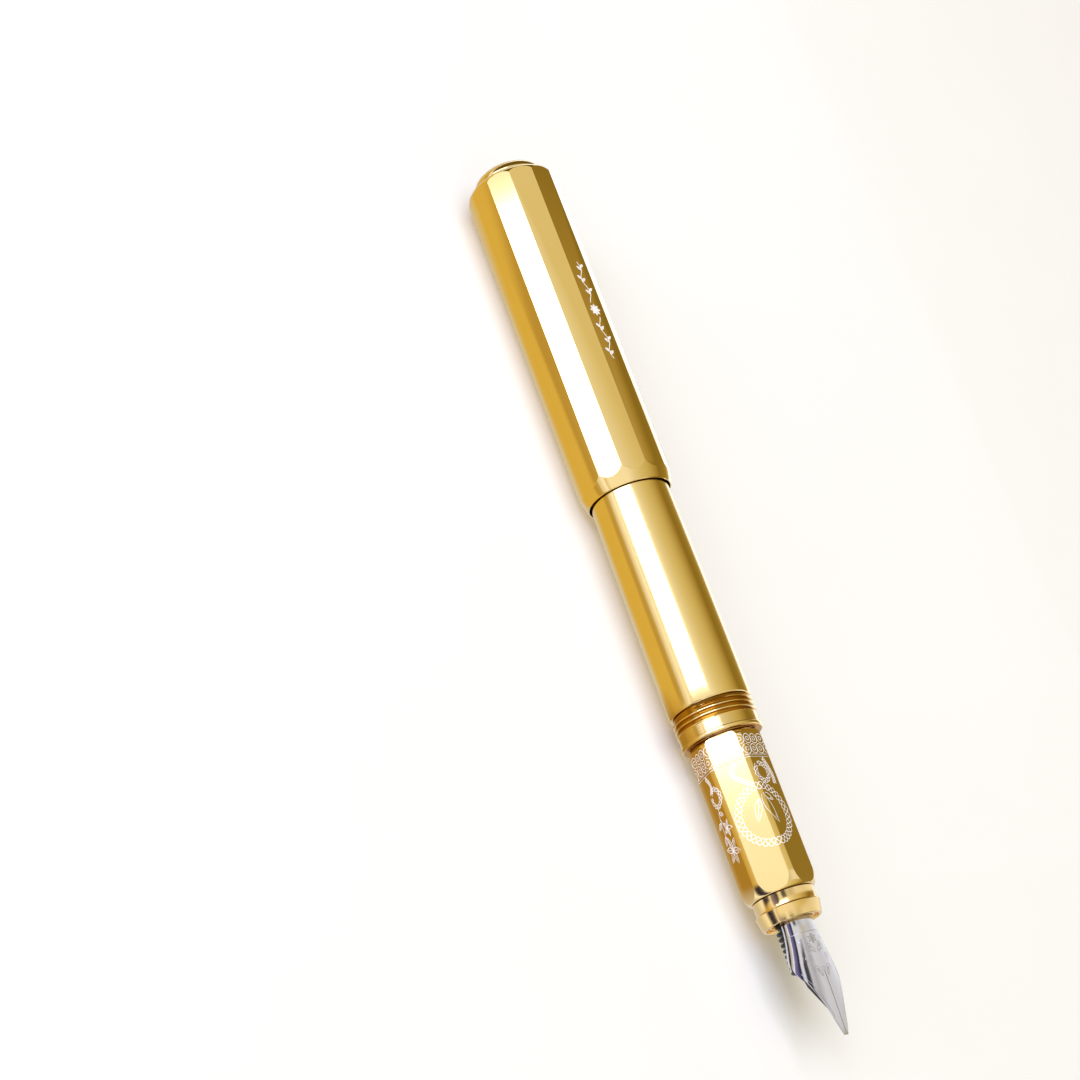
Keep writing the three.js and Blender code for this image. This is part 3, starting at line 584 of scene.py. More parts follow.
for vert in thread_shape.verts:
    side, up = vert.co.y - AXIS_Y, vert.co.z - AXIS_Z
    radius = math.hypot(side, up) / MM
    run = (station_of(vert.co.x) - thread_front - TOOTH_MIDDLE) / THREAD_PITCH * 360
    fade = min(1.0, max(0.0, run / RUN_OUT_DEG), max(0.0, (THREAD_TURNS * 360 - run) / RUN_OUT_DEG))
    wanted = SUNK + (radius - SUNK) * fade
    vert.co.y = AXIS_Y + side * wanted / radius
    vert.co.z = AXIS_Z + up * wanted / radius
bmesh.ops.recalc_face_normals(thread_shape, faces=thread_shape.faces)
fit(piece("cap_thread_helix", thread_shape, thread_gold_root_shade, sharp_deg=50), "section", "gold_trim")

# Grip section: a turned aluminium tube with six flats, narrow round strips between them, and the
# threaded shank that screws into the barrel. Polished and anodised gold.
GRIP_FRONT, SHANK_BACK, _ = ends("grip_section")
GRIP_RADIUS = 5.43
GRIP_APOTHEM = 4.9
GRIP_ROLL = -6.7
GRIP_NOSE = 4.66
GRIP_TAPER = 2.5
SHANK_RADIUS = 4.6
SHANK_BORE = 4.0
NOSE_BORE = 3.65
BORE_STEP = 33.4
grip_taper = arc((GRIP_FRONT + GRIP_TAPER, GRIP_RADIUS), (GRIP_FRONT, GRIP_NOSE), 16)
grip_shape = turned([
    (GRIP_FRONT, NOSE_BORE),
    *reversed(grip_taper),
    (FLANGE_FRONT - 0.9, GRIP_RADIUS),
    (FLANGE_FRONT - 0.4, GRIP_RADIUS - 0.12),
    (FLANGE_FRONT - 0.14, GRIP_APOTHEM),
    (FLANGE_FRONT - 0.12, SHANK_RADIUS),
    (BARREL_FRONT, SHANK_RADIUS),
    (BARREL_FRONT + 0.5, SHANK_RADIUS + 0.1),
    (SHANK_BACK - 0.4, SHANK_RADIUS + 0.1),
    (SHANK_BACK, SHANK_RADIUS - 0.1),
    (SHANK_BACK, SHANK_BORE),
    (BORE_STEP, SHANK_BORE),
    (BORE_STEP - 0.4, NOSE_BORE),
], loop=True, steps=288)
mill_flats(grip_shape, 6, GRIP_APOTHEM, GRIP_ROLL)
grip_gold = anodised_gold("grip_polished_anodised_aluminium", GOLD, 0.12, 0.0004)
fit(piece("grip_tube", grip_shape, grip_gold, sharp_deg=9), "section", "gold_grip", "grip_section")

# Nose ring: a narrow neck and a flared ring that keep the fingers off the nib. It is turned in the
# same aluminium and fixed to the front of the grip.
NOSE_FRONT, NOSE_BACK, NOSE_EDGE_RADIUS = ends("nose_ring")
NOSE_EDGE = NOSE_FRONT + 1.95
NOSE_NECK = 4.52
NOSE_MOUTH = 3.95
NOSE_RIM = 4.38
nose_shape = turned([
    (NOSE_FRONT, NOSE_MOUTH),
    (NOSE_FRONT, NOSE_RIM - 0.08),
    (NOSE_FRONT + 0.08, NOSE_RIM),
    (NOSE_EDGE - 0.12, NOSE_EDGE_RADIUS - 0.05),
    (NOSE_EDGE, NOSE_EDGE_RADIUS),
    (NOSE_EDGE + 0.14, NOSE_EDGE_RADIUS - 0.03),
    (NOSE_EDGE + 0.22, NOSE_NECK + 0.02),
    (NOSE_EDGE + 0.3, NOSE_NECK),
    (NOSE_BACK - 0.1, NOSE_NECK),
    (NOSE_BACK, NOSE_NECK + 0.04),
    (NOSE_BACK, NOSE_BORE),
    (NOSE_EDGE, NOSE_BORE),
    (NOSE_EDGE, NOSE_MOUTH),
], loop=True)
soften(nose_shape, 0.03, 40)
fit(piece("nose_ring_turned", nose_shape, trim_gold), "section", "gold_trim", "nose_ring")

# Nib collar: a thin gold sleeve round the nib and feed, inside the nose ring's mouth. It is turned in
# the same aluminium and sits on the housing.
SLEEVE_FRONT, SLEEVE_BACK, SLEEVE_RADIUS = ends("nib_collar")
SLEEVE_WALL = 0.3
sleeve_shape = turned([
    (SLEEVE_FRONT, SLEEVE_RADIUS - SLEEVE_WALL),
    (SLEEVE_FRONT, SLEEVE_RADIUS),
    (SLEEVE_BACK, SLEEVE_RADIUS),
    (SLEEVE_BACK, SLEEVE_RADIUS - SLEEVE_WALL),
], loop=True)
soften(sleeve_shape, 0.06)
fit(piece("nib_collar_sleeve", sleeve_shape, trim_gold), "housing", "gold_trim", "nib_collar")

# Nib: a blank of stainless steel sheet, pressed to shape, slit from the point and polished. The
# housing holds it by friction, with the feed under it.
NIB_ROLL = 12.0
NIB_THICKNESS = 0.32
NIB_BACK = station_of(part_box("nib")[0].x)
NIB_SLIT = 0.07
NIB_SLIT_END = 9.2
NIB_MOST = 0.978  # most of a half circle that the nib wraps round, as a sine
# station, height of the upper face over the axis, half width, radius across
NIB_LINE = [
    (0, 2.42, 0.26, 7), (1.7, 2.52, 0.8, 6.4), (3.9, 2.66, 1.38, 5.6), (7.3, 2.84, 2.55, 4.6),
    (9, 2.87, 3.25, 4.25), (10.3, 2.88, 3.64, 4.05), (12, 2.87, 3.45, 3.55), (14.2, 2.83, 2.98, 3.05),
    (16.6, 2.76, 2.68, 2.75), (NIB_BACK, 2.75, 2.68, 2.75),
]


def nib_at(station):
    """Height, half width and cross radius of the nib at a station, on a smooth curve."""
    last = len(NIB_LINE) - 2
    index = next((i for i in range(last + 1) if NIB_LINE[i + 1][0] > station), last)
    before, a, b, after = (NIB_LINE[max(0, min(last + 1, index + k))] for k in (-1, 0, 1, 2))
    span = b[0] - a[0]
    t = max(0.0, min(1.0, (station - a[0]) / span))
    values = []
    for k in (1, 2, 3):
        slope_a = (b[k] - before[k]) / (b[0] - before[0]) * span if b[0] > before[0] else 0
        slope_b = (after[k] - a[k]) / (after[0] - a[0]) * span
        values.append((2 * t ** 3 - 3 * t ** 2 + 1) * a[k] + (t ** 3 - 2 * t ** 2 + t) * slope_a
                      + (3 * t ** 2 - 2 * t ** 3) * b[k] + (t ** 3 - t ** 2) * slope_b)
    return values


def nib_point(station, across, depth):
    """A point on the nib: across is from -1 to 1, edge to edge, and depth is in mm below its face."""
    height, half, radius = nib_at(station)
    angle = across * math.asin(min(half / radius, NIB_MOST))
    side = (radius - depth) * math.sin(angle)
    up = height - radius + (radius - depth) * math.cos(angle)
    roll = math.radians(NIB_ROLL)
    y = -side * math.cos(roll) - up * math.sin(roll)
    z = up * math.cos(roll) - side * math.sin(roll)
    return Vector((POINT_X - station * MM, AXIS_Y + y * MM, AXIS_Z + z * MM))


NIB_COLUMNS = 33
NIB_ROWS = 150
nib_shape = bmesh.new()
bmesh.ops.create_grid(nib_shape, x_segments=NIB_ROWS, y_segments=NIB_COLUMNS, size=1)
slit_faces = [f for f in nib_shape.faces if abs(f.calc_center_median().y) < 1 / NIB_COLUMNS
              and (f.calc_center_median().x + 1) / 2 * NIB_BACK < NIB_SLIT_END]
bmesh.ops.delete(nib_shape, geom=slit_faces, context="FACES")
under = bmesh.ops.extrude_face_region(nib_shape, geom=nib_shape.faces[:])["geom"]
bmesh.ops.translate(nib_shape, vec=(0, 0, -1),
                    verts=[v for v in under if isinstance(v, bmesh.types.BMVert)])
for vert in nib_shape.verts:
    station = (vert.co.x + 1) / 2 * NIB_BACK
    across = vert.co.y
    if abs(across) < 1.5 / NIB_COLUMNS:
        across = math.copysign(min(NIB_SLIT / 2 / nib_at(station)[1], 0.9), across)
    vert.co = nib_point(station, across, NIB_THICKNESS * -vert.co.z)
bmesh.ops.recalc_face_normals(nib_shape, faces=nib_shape.faces)
if nib_shape.calc_volume(signed=True) < 0:  # so thin a sheet can come out inside out
    bmesh.ops.reverse_faces(nib_shape, faces=nib_shape.faces)
soften(nib_shape, 0.04, 60)
bmesh.ops.dissolve_degenerate(nib_shape, dist=1e-3 * MM, edges=nib_shape.edges)


def polished_steel(name, colour, roughness):
    """Polished stainless steel, with the faint lines that the buffing wheel leaves along it."""
    material, tree = new_material(name)
    place = add(tree, "ShaderNodeTexCoord").outputs["Object"]
    # Buffing lines are under 0.05 mm apart; they are drawn at 0.15 mm to show.
    buffed = add(tree, "ShaderNodeMapping", {
        "Vector": place, "Scale": (1 / (6 * MM), 1 / (0.15 * MM), 1 / (0.15 * MM)),
    })
    lines = add(tree, "ShaderNodeTexNoise", {"Vector": buffed.outputs[0], "Scale": 1.0, "Detail": 2.0})
    surface_finish(tree, lines.outputs["Fac"], lines.outputs["Fac"], colour,
                   (roughness - 0.03, roughness + 0.03), 0.0008, Metallic=1.0)
    return material


nib_steel = polished_steel("nib_polished_stainless_steel", ("#D9D8DC", "#CFCED3"), 0.09)
nib = piece("nib_blade", nib_shape, nib_steel, sharp_deg=35)
fit(nib, "nib_unit", "steel", "nib")
not_keyed = bpy.data.collections.new("not_lit_by_key_box")
not_keyed.objects.link(nib)
not_keyed.collection_objects[0].light_linking.link_state = "EXCLUDE"
key_box.light_linking.receiver_collection = not_keyed


# Feed: moulded black ABS, a finned core that lies under the nib and tapers to a lip near its point.
# The gaps between its fins hold back spare ink.
def moulded(name, colour, roughness):
    """Moulded plastic with the fine grain of a spark-eroded mould."""
    material, tree = new_material(name)
    place = add(tree, "ShaderNodeTexCoord").outputs["Object"]
    # The grain is about 0.03 mm; it is drawn at 0.12 mm to show.
    grain = add(tree, "ShaderNodeTexNoise", {"Vector": place, "Scale": 1 / (0.12 * MM), "Detail": 3.0})
    surface_finish(tree, grain.outputs["Fac"], grain.outputs["Fac"], colour,
                   (roughness - 0.05, roughness + 0.05), 0.004)
    return material


black_abs = moulded("feed_moulded_black_abs", ("#08080A", "#101012"), 0.5)
FEED_TIP, FEED_BACK, _ = ends("feed")
# station, bottom and top of the feed over the axis, half width
FEED_LINE = [
    (FEED_TIP, 1.72, 1.95, 0.35), (4.2, 1.1, 2.05, 0.8), (6.0, 0.2, 2.1, 1.3), (8.0, -0.95, 2.1, 1.7),
    (9.6, -1.5, 2.05, 1.6), (10.4, -1.45, 2.0, 1.45), (16.6, -1.45, 2.0, 1.45), (17.0, -2.6, 2.0, 2.05),
    (NIB_BACK + 1, -2.6, 2.0, 2.05), (NIB_BACK + 1.2, -2.0, 2.0, 2.0), (FEED_BACK, -2.0, 2.0, 2.0),
]
FEED_SIDES = 64
feed_shape = bmesh.new()
rings = []
for station, bottom, top, half in FEED_LINE:
    made = bmesh.ops.create_circle(feed_shape, cap_ends=False, segments=FEED_SIDES, radius=1)["verts"]
    roll = math.radians(NIB_ROLL)
    for vert in made:
        side, up = vert.co.x * half, (top + bottom) / 2 + vert.co.y * (top - bottom) / 2
        vert.co = Vector((
            POINT_X - station * MM,
            AXIS_Y + (-side * math.cos(roll) - up * math.sin(roll)) * MM,
            AXIS_Z + (up * math.cos(roll) - side * math.sin(roll)) * MM,
        ))
    rings.append(list({e for v in made for e in v.link_edges}))
for first, second in zip(rings, rings[1:]):
    bmesh.ops.bridge_loops(feed_shape, edges=first + second)
bmesh.ops.holes_fill(feed_shape, edges=rings[0] + rings[-1], sides=0)
bmesh.ops.recalc_face_normals(feed_shape, faces=feed_shape.faces)

FIN_FIRST = 10.45
FIN_COUNT = 8
FIN_PITCH = 0.81
FIN_WIDTH = 0.26
FIN_RADIUS = 2.75
FIN_ROOT = 1.15
FIN_SWEEP = 204
for fin in range(FIN_COUNT):
    front = FIN_FIRST + fin * FIN_PITCH
    corners = [(front, FIN_ROOT), (front, FIN_RADIUS - 0.06), (front + 0.06, FIN_RADIUS),
               (front + FIN_WIDTH - 0.06, FIN_RADIUS), (front + FIN_WIDTH, FIN_RADIUS - 0.06),
               (front + FIN_WIDTH, FIN_ROOT)]
    start = NIB_ROLL + 180 - FIN_SWEEP / 2
    verts = [feed_shape.verts.new(at(s, r, start)) for s, r in corners]
    face = feed_shape.faces.new(verts)
    bmesh.ops.spin(feed_shape, geom=[face] + face.edges[:] + verts, cent=(0, AXIS_Y, AXIS_Z),
                   axis=(1, 0, 0), angle=math.radians(FIN_SWEEP), steps=72)
bmesh.ops.recalc_face_normals(feed_shape, faces=feed_shape.faces)
fit(piece("feed_finned", feed_shape, black_abs, sharp_deg=35), "nib_unit", "black_plastic", "feed")


# Printed ornament on the grip: white ink, screen-printed round the flats. A lace band, ropes braided
# of three strands, and stems with leaves and petalled flowers, drawn twice round the grip.
def ink(name, strokes, width, place, material):
    """Draws flat strokes of (station, arc) points in mm, and lays them on a surface."""
    curve = bpy.data.curves.new(name, "CURVE")
    curve.dimensions = "3D"
    curve.bevel_depth = width / 2
    curve.bevel_resolution = 0
    curve.use_fill_caps = True
    for points, closed in strokes:
        spline = curve.splines.new("POLY")
        spline.points.add(len(points) - 1)
        for slot, (station, arc_mm) in zip(spline.points, points):
            slot.co = (station, arc_mm, 0, 1)
        spline.use_cyclic_u = closed
    drawn = bpy.data.objects.new(name + "_drawn", curve)
    mesh = bpy.data.meshes.new_from_object(drawn)
    bpy.data.objects.remove(drawn)
    for vert in mesh.vertices:
        vert.co = place(vert.co.x, vert.co.y, vert.co.z * 0.12)
    shape = bmesh.new()
    shape.from_mesh(mesh)
    bpy.data.meshes.remove(mesh)
    bmesh.ops.remove_doubles(shape, verts=shape.verts, dist=1e-5 * MM)
    bmesh.ops.recalc_face_normals(shape, faces=shape.faces)
    return piece(name, shape, material)


GRIP_ROUND = 2 * math.pi * 5.2


def on_grip(station, arc_mm, lift):
    """A point on the grip: arc is in mm round it from straight up, towards the front."""
    angle = arc_mm / GRIP_ROUND * 360
    off_flat = math.radians((angle - GRIP_ROLL + 30) % 60 - 30)
    radius = min(GRIP_RADIUS, GRIP_APOTHEM / math.cos(off_flat))
    return at(station, radius + lift + 0.006, angle)


def rope(route, waves, spread, steps):
    """Three strands that cross over each other along a route from 0 to 1."""
    strands = []
    for strand in range(3):
        points = []
        for step in range(steps + 1):
            along = step / steps
            here, ahead = Vector(route(along)), Vector(route(along + 0.001))
            tangent = (ahead - here).normalized()
            swing = spread * math.sin(2 * math.pi * (waves * along + strand / 3))
            points.append((here.x - tangent.y * swing, here.y + tangent.x * swing))
        strands.append((points, False))
    return strands


def ring_route(station, arc_mm, radius, start, turn):
    """A ring, or part of one, as a route from 0 to 1."""
    def route(along):
        angle = 2 * math.pi * (start + along * turn)
        return station + radius * math.cos(angle), arc_mm + radius * math.sin(angle)
    return route


def leaf(station, arc_mm, heading_deg, length, width):
    """A pointed leaf or petal with its middle vein."""
    heading = math.radians(heading_deg)
    outline = []
    for side in (1, -1):
        for step in range(7):
            share = step / 6 if side == 1 else 1 - step / 6
            along, out = share * length, side * width / 2 * math.sin(math.pi * share ** 0.8)
            outline.append((station + along * math.cos(heading) - out * math.sin(heading),
                            arc_mm + along * math.sin(heading) + out * math.cos(heading)))
    tip = (station + 0.8 * length * math.cos(heading), arc_mm + 0.8 * length * math.sin(heading))
    return [(outline, True), ([(station, arc_mm), tip], False)]


def flower(station, arc_mm, size, petals=6, turn_deg=0):
    strokes = []
    for petal in range(petals):
        strokes += leaf(station, arc_mm, turn_deg + 360 / petals * petal, size, size * 0.42)
    return strokes


def bend(points, steps=14):
    """A smooth stem through three points."""
    a, b, c = points
    stem = []
    for step in range(steps + 1):
        u = step / steps
        stem.append(tuple((1 - u) ** 2 * a[k] + 2 * u * (1 - u) * b[k] + u ** 2 * c[k] for k in (0, 1)))
    return [(stem, False)]


def circle(station, arc_mm, radius, points=14):
    """A small ring."""
    turn = 2 * math.pi / points
    return [([(station + radius * math.cos(k * turn), arc_mm + radius * math.sin(k * turn))
              for k in range(points)], True)]


LACE_LOW = 41.1
LACE_HIGH = 44.2
LACE_REPEATS = 21
LACE_PITCH = GRIP_ROUND / LACE_REPEATS
ROPE_TOP = 40.4
DEGREE = GRIP_ROUND / 360
print_strokes = []
for repeat in range(LACE_REPEATS):
    here = repeat * LACE_PITCH
    print_strokes += circle(LACE_LOW + 0.75, here, 0.75)
    print_strokes += circle(LACE_HIGH - 0.75, here + LACE_PITCH / 2, 0.75)
    print_strokes += circle(LACE_LOW + 0.75, here, 0.3, 8)
    print_strokes += circle(LACE_HIGH - 0.75, here + LACE_PITCH / 2, 0.3, 8)
for station in (LACE_LOW - 0.15, LACE_LOW - 0.5):
    line = [(station, GRIP_ROUND * step / 96) for step in range(96)]
    print_strokes.append((line, True))
for half in range(2):
    centre = half * GRIP_ROUND / 2
    # station, degrees round, radius, start and length of the ring in turns, waves, spread, steps
    for station, degrees, radius, start, turn, waves, spread, steps in (
        (32.0, 25, 4.2, 0.0, 1.0, 11, 0.55, 220), (38.2, 2, 1.35, 0.1, 0.95, 4, 0.34, 80),
        (37.0, 100, 1.3, 0.2, 0.95, 4, 0.32, 80),
    ):
        route = ring_route(station, centre + degrees * DEGREE, radius, start, turn)
        print_strokes += rope(route, waves, spread, steps)
    # length, degrees round at the top, swing in degrees, its rate, waves, spread, steps
    for length, degrees, swing, rate, waves, spread, steps in (
        (4.0, -12, -10, 2.2, 4, 0.32, 70), (3.8, 44, 12, 4.2, 4, 0.32, 70),
        (2.4, 112, -10, 2.6, 3, 0.3, 60),
    ):
        def hanging(u):
            return ROPE_TOP - length * u, centre + (degrees + swing * math.sin(rate * u)) * DEGREE
        print_strokes += rope(hanging, waves, spread, steps)
    for stem in (((35.6, 104), (32.8, 124), (29.6, 108)), ((34.0, 111), (32.4, 106), (31.8, 97))):
        print_strokes += bend([(station, centre + degrees * DEGREE) for station, degrees in stem])
    # station, degrees round, heading in degrees, length, width
    for station, degrees, heading_deg, length, width in (
        (34.8, 24, 198, 4.6, 1.3), (34.4, 30, 160, 3.4, 1.0), (35.0, 20, 236, 2.0, 0.8),
        (33.6, 115, 120, 1.4, 0.6), (31.6, 116, 150, 1.5, 0.6), (34.9, 108, 245, 1.3, 0.6),
    ):
        print_strokes += leaf(station, centre + degrees * DEGREE, heading_deg, length, width)
    print_strokes += flower(29.2, centre + 107 * DEGREE, 2.1, 6, 12)
    print_strokes += flower(32.4, centre + 98 * DEGREE, 1.3, 5, 40)

# The ink is a matt film with slightly uneven cover. Its pinholes are about 0.05 mm; they are drawn at
# 0.2 mm to show.
white_ink, ink_tree = new_material("white_screen_print_ink")
cover = add(ink_tree, "ShaderNodeTexNoise", {
    "Vector": add(ink_tree, "ShaderNodeTexCoord").outputs["Object"],
    "Scale": 1 / (0.2 * MM), "Detail": 2.0,
})
surface_finish(ink_tree, cover.outputs["Fac"], cover.outputs["Fac"], ("#FBF9F8", "#F2EEEC"),
               (0.55,), 0.003)
fit(ink("grip_printed_ornament", print_strokes, 0.1, on_grip, white_ink), "section", "gold_grip")


# Printed ornament on the cap's upper flat: a slim vine with a star in its middle, in the same white
# ink, screen-printed as a thin film.
def on_cap(station, arc_mm, lift):
    return Vector((POINT_X - station * MM, AXIS_Y - arc_mm * MM,
                   AXIS_Z + (CAP_APOTHEM + 0.006 + lift) * MM))


VINE_FRONT = 106.0
VINE_LENGTH = 17.5
VINE_WAVES = 4
vine = [(VINE_FRONT + VINE_LENGTH * step / 96,
         0.42 * math.sin(2 * math.pi * VINE_WAVES * step / 96)) for step in range(97)]
vine_middle = VINE_FRONT + VINE_LENGTH / 2
vine_strokes = [([p for p in vine if p[0] < vine_middle - 1.1], False),
                ([p for p in vine if p[0] > vine_middle + 1.1], False)]
for crest in range(2 * VINE_WAVES):
    station = VINE_FRONT + VINE_LENGTH * (crest + 0.5) / (2 * VINE_WAVES)
    side = 1 if crest % 2 == 0 else -1
    if abs(station - vine_middle) > 1.5:
        vine_strokes += leaf(station - 0.3, side * 0.42, side * -55, 1.0, 0.42)
        vine_strokes += leaf(station + 0.2, side * 0.42, side * 50, 0.8, 0.34)
vine_strokes += flower(vine_middle, 0, 1.0, 8)
fit(ink("cap_printed_ornament", vine_strokes, 0.14, on_cap, white_ink), "cap", "gold_cap")

# Engraving on the nib: a line across the shank, a border and mirrored scrolls, cut by a fine point.
# The cut is too shallow to show, so it is drawn as a film of duller steel on the face.
ENGRAVING_LINE = 0.085


def nib_arc(station, share):
    """Arc in mm from the slit to a share of the way to the nib's edge."""
    _, half, radius = nib_at(station)
    return share * radius * math.asin(min(half / radius, NIB_MOST))


def on_nib(station, arc_mm, lift):
    return nib_point(station, arc_mm / nib_arc(station, 1), -lift - 0.004)


BORDER_FRONT = 2.6
BORDER_LENGTH = 7.0
BORDER_SHARE = 0.84
CROSS_LINE = 15.0
engraving = [([(CROSS_LINE, nib_arc(CROSS_LINE, -1 + step / 20)) for step in range(41)], False)]
for side in (1, -1):
    border = [BORDER_FRONT + BORDER_LENGTH * step / 30 for step in range(31)]
    engraving.append(([(station, side * nib_arc(station, BORDER_SHARE)) for station in border], False))
    for station, arc_mm, size, turns, sense in (
        (12.9, 0.95, 0.75, 1.6, 1), (11.2, 1.75, 0.6, 1.4, -1),
        (9.6, 0.95, 0.55, 1.4, 1), (13.9, 1.9, 0.4, 1.2, -1),
    ):
        spiral = []
        for step in range(25):
            share = step / 24
            angle = sense * 2 * math.pi * turns * share
            spiral.append((station + size * share * math.cos(angle),
                           side * (arc_mm + size * share * math.sin(angle))))
        engraving.append((spiral, False))
    engraving += [([(s, side * a) for s, a in stroke], closed)
                  for stroke, closed in leaf(11.9, 0.3, 30, 1.5, 0.45) + leaf(8.4, 0.45, 20, 1.3, 0.4)]
engraving += flower(13.9, 0, 0.75, 6)
engraving += circle(NIB_SLIT_END + 0.25, 0, 0.28, 16)
cut_steel = polished_steel("nib_engraved_stainless_steel", ("#A9A8AE", "#C4C3C8"), 0.3)
fit(ink("nib_engraving", engraving, ENGRAVING_LINE, on_nib, cut_steel), "nib_unit", "steel")


# Inside the cap: the moulded liner that closes over the nib, and the steel nut on the finial's stem,
# which clamps the liner to the end of the cap.
LINER_RADIUS = CAP_BORE - 0.3
LINER_WALL = 0.9
liner_front, liner_back, _ = ends("cap_liner")
liner_shape = turned([
    (liner_front, LINER_RADIUS - 0.45), (liner_front, LINER_RADIUS - 0.1),
    (liner_front + 0.1, LINER_RADIUS), (liner_back, LINER_RADIUS), (liner_back, STEM_HOLE),
    (liner_back - LINER_WALL, STEM_HOLE), (liner_back - LINER_WALL, LINER_RADIUS - LINER_WALL),
    (liner_front + 0.45, LINER_RADIUS - LINER_WALL),
], loop=True, steps=96)
liner_abs = moulded("cap_liner_moulded_black_abs", ("#101012", "#18181A"), 0.45)
fit(piece("cap_liner_sleeve", liner_shape, liner_abs), "cap", "black_plastic", "cap_liner")

nut_front, nut_back, _ = ends("finial_nut")
NUT_APOTHEM = 2.9
NUT_BLANK = 3.32
nut_shape = turned([
    (nut_front, STEM_HOLE), (nut_front, NUT_APOTHEM), (nut_front + 0.25, NUT_BLANK),
    (nut_back, NUT_BLANK), (nut_back, STEM_HOLE),
], loop=True, steps=96)
mill_flats(nut_shape, 6, NUT_APOTHEM, 0)
nut_steel = polished_steel("nut_turned_stainless_steel", ("#C9C8CC", "#BDBCC1"), 0.22)
fit(piece("finial_hex_nut", nut_shape, nut_steel), "cap", "steel", "finial_nut")

# Inside the section: the housing that grips nib and feed, with the nipple for the converter, and the
# rubber ring behind the shank.
housing_front, housing_back, _ = ends("nib_housing")
NIPPLE_FRONT = FEED_BACK + 1.7
HOUSING_BORE = 3.05
HOUSING_RADIUS = 3.37
NIPPLE_RADIUS = 2.0
INK_HOLE = 0.6
housing_shape = turned([
    (housing_front, HOUSING_BORE), (housing_front, HOUSING_RADIUS), (NIPPLE_FRONT, HOUSING_RADIUS),
    (NIPPLE_FRONT, NIPPLE_RADIUS + 0.1), (NIPPLE_FRONT + 0.1, NIPPLE_RADIUS),
    (housing_back - 0.5, NIPPLE_RADIUS), (housing_back, NIPPLE_RADIUS - 0.3), (housing_back, INK_HOLE),
    (FEED_BACK + 0.3, INK_HOLE), (FEED_BACK + 0.3, HOUSING_BORE),
], loop=True, steps=96)
housing_abs = moulded("housing_moulded_black_abs", ("#0E0E10", "#161618"), 0.42)
fit(piece("nib_housing_sleeve", housing_shape, housing_abs), "housing", "black_plastic", "nib_housing")

seal_front, seal_back, _ = ends("section_o_ring")
seal_middle = (seal_front + seal_back) / 2
SEAL_WIRE = (seal_back - seal_front) / 2
seal_radius = BARREL_BORE - SEAL_WIRE - 0.035
seal_turn = [math.pi * step / 8 for step in range(16)]
seal_shape = turned([
    (seal_middle + SEAL_WIRE * math.cos(turn), seal_radius + SEAL_WIRE * math.sin(turn))
    for turn in seal_turn
], loop=True, steps=120)
rubber = moulded("seal_moulded_nitrile_rubber", ("#171718", "#1F1F20"), 0.75)
fit(piece("section_seal_ring", seal_shape, rubber), "seal", "seal_rubber", "section_o_ring")

# Converter: a clear tube with a plain sleeve, a ringed steel collar, a fluted knob, and the piston's
# rod and rubber seal inside. The tube is clear polycarbonate, glossy and faintly rippled by the
# mould; the collar is turned, and the rest moulded black.
clear, clear_tree = new_material("converter_clear_polycarbonate")
ripple = add(clear_tree, "ShaderNodeTexNoise", {
    "Vector": add(clear_tree, "ShaderNodeTexCoord").outputs["Object"],
    "Scale": 1 / (2 * MM), "Detail": 1.0,
})
surface_finish(clear_tree, ripple.outputs["Fac"], ripple.outputs["Fac"], ("#F4F7F8",),
               (0.03, 0.08), 0.01, **{"Transmission Weight": 1.0, "IOR": 1.58})
tube_front, tube_back, _ = ends("converter_tube")
piston_front, piston_back, _ = ends("piston_rod")
TUBE_RADIUS = 3.6
TUBE_BORE = 3.0
TUBE_MOUTH = 2.3
tube_shape = turned([
    (tube_front, TUBE_MOUTH), (tube_front, TUBE_RADIUS - 0.6), (tube_front + 0.1, TUBE_RADIUS - 0.5),
    (tube_front + 3, TUBE_RADIUS - 0.4), (tube_front + 3.1, TUBE_RADIUS), (tube_back, TUBE_RADIUS),
    (tube_back, TUBE_BORE), (piston_front - 0.4, TUBE_BORE), (piston_front - 0.8, TUBE_MOUTH),
], loop=True, steps=96)
fit(piece("converter_clear_tube", tube_shape, clear), "converter", "clear_plastic", "converter_tube")

band_front, band_back, _ = ends("converter_sleeve")
BAND_RADIUS = TUBE_RADIUS + 0.55
BAND_BORE = TUBE_RADIUS + 0.25
band_shape = turned([
    (band_front, BAND_BORE), (band_front, BAND_RADIUS - 0.08), (band_front + 0.08, BAND_RADIUS),
    (band_back - 0.08, BAND_RADIUS), (band_back, BAND_RADIUS - 0.08), (band_back, BAND_BORE),
], loop=True, steps=96)
band = piece("converter_plain_sleeve", band_shape, housing_abs)
fit(band, "converter", "black_plastic", "converter_sleeve")

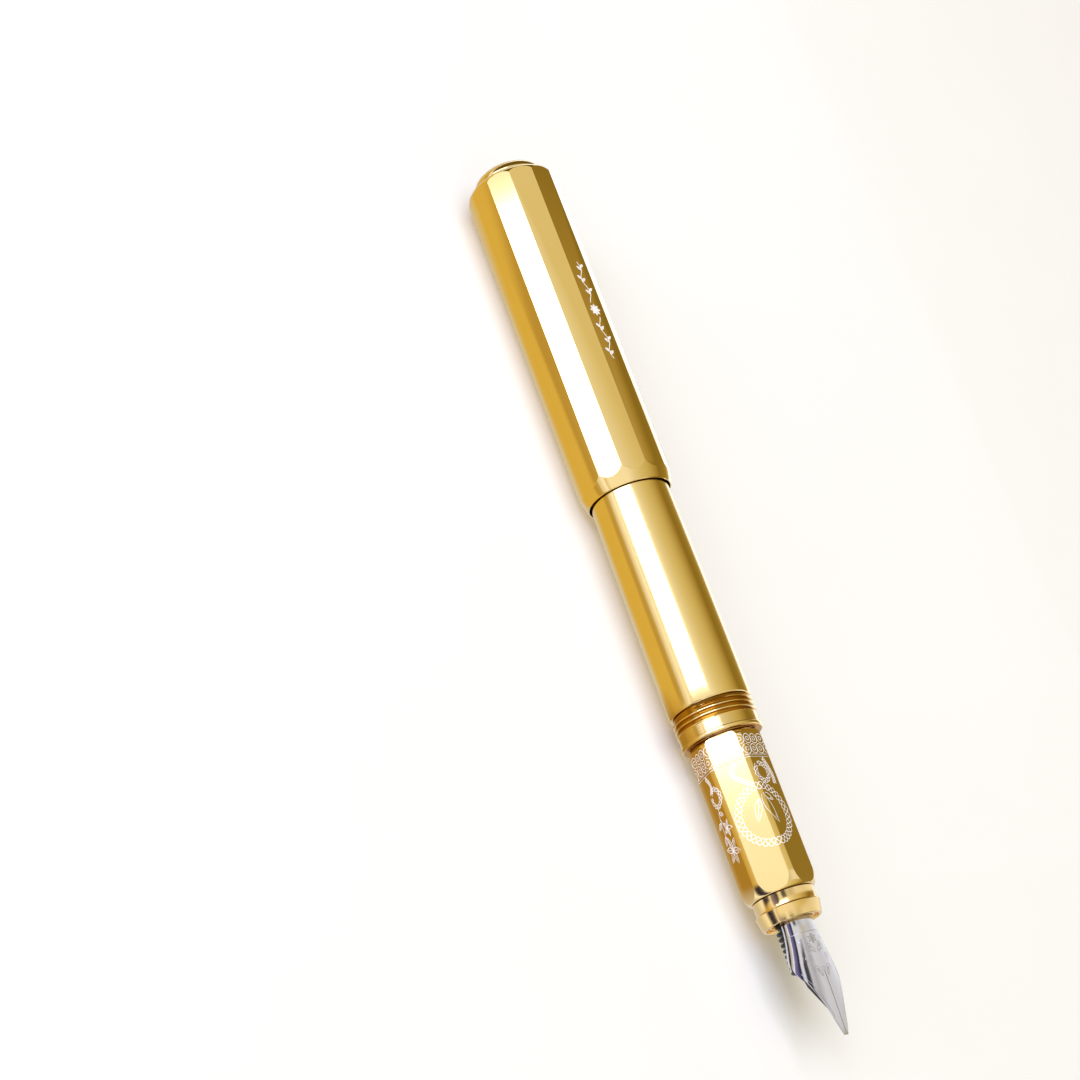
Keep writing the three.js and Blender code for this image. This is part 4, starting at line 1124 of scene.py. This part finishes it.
rings_front, rings_back, _ = ends("converter_collar")
RING_COUNT = 5
RING_PITCH = (rings_back - rings_front) / RING_COUNT
RING_RADIUS = 4.1
RING_GROOVE = RING_RADIUS - 0.25
KNOB_BORE = 1.5
ring_profile = [(rings_front, KNOB_BORE)]
for ring in range(RING_COUNT):
    start = rings_front + ring * RING_PITCH
    end = start + RING_PITCH
    ring_profile += [
        (start + 0.02, RING_GROOVE), (start + 0.16, RING_RADIUS - 0.04), (start + 0.3, RING_RADIUS),
        (end - 0.38, RING_RADIUS), (end - 0.24, RING_RADIUS - 0.04), (end - 0.1, RING_GROOVE),
    ]
ring_profile += [(rings_back, RING_GROOVE), (rings_back, KNOB_BORE)]
ringed = piece("converter_ringed_collar", turned(ring_profile, loop=True, steps=120), nut_steel)
fit(ringed, "converter", "steel", "converter_collar")

knob_front, knob_back, _ = ends("converter_knob")
KNOB_RADIUS = 3.5
knob_shape = turned([
    (knob_front, KNOB_BORE), (knob_front, KNOB_RADIUS - 0.2), (knob_front + 0.2, KNOB_RADIUS),
    (knob_back - 0.95, KNOB_RADIUS), (knob_back - 0.75, KNOB_RADIUS - 0.2),
    *arc((knob_back - 0.7, KNOB_RADIUS - 0.35), (knob_back, 0), 10),
    (knob_back - 1.0, 0), (knob_back - 1.0, KNOB_BORE),
], loop=True, steps=216)
fluted(knob_shape, knob_front + 0.15, knob_back - 0.9, 18, 0.3)
knob = piece("converter_fluted_knob", knob_shape, housing_abs, sharp_deg=40)
fit(knob, "knob", "black_plastic", "converter_knob")

ROD_RADIUS = 1.2
ROD_HEAD = 2.2
rod_shape = turned([
    (piston_front, 0), (piston_front, ROD_HEAD - 0.1), (piston_front + 0.1, ROD_HEAD),
    (piston_front + 0.5, ROD_HEAD), (piston_front + 0.5, ROD_RADIUS), (piston_back - 0.1, ROD_RADIUS),
    (piston_back, ROD_RADIUS - 0.1), (piston_back, 0),
], steps=72)
fit(piece("piston_screw_rod", rod_shape, housing_abs), "piston", "black_plastic", "piston_rod")

lip_front, lip_back, _ = ends("piston_seal")
LIP_RADIUS = 2.88
LIP_WAIST = LIP_RADIUS - 0.35
LIP_BORE = 1.4
lip_shape = turned([
    (lip_front, LIP_BORE), (lip_front, LIP_RADIUS - 0.1), (lip_front + 0.1, LIP_RADIUS),
    (lip_front + 0.6, LIP_RADIUS - 0.02), (lip_front + 0.9, LIP_WAIST), (lip_back - 0.9, LIP_WAIST),
    (lip_back - 0.6, LIP_RADIUS - 0.02), (lip_back - 0.1, LIP_RADIUS), (lip_back, LIP_RADIUS - 0.1),
    (lip_back, LIP_BORE),
], loop=True, steps=96)
fit(piece("piston_lip_seal", lip_shape, rubber), "piston", "seal_rubber", "piston_seal")
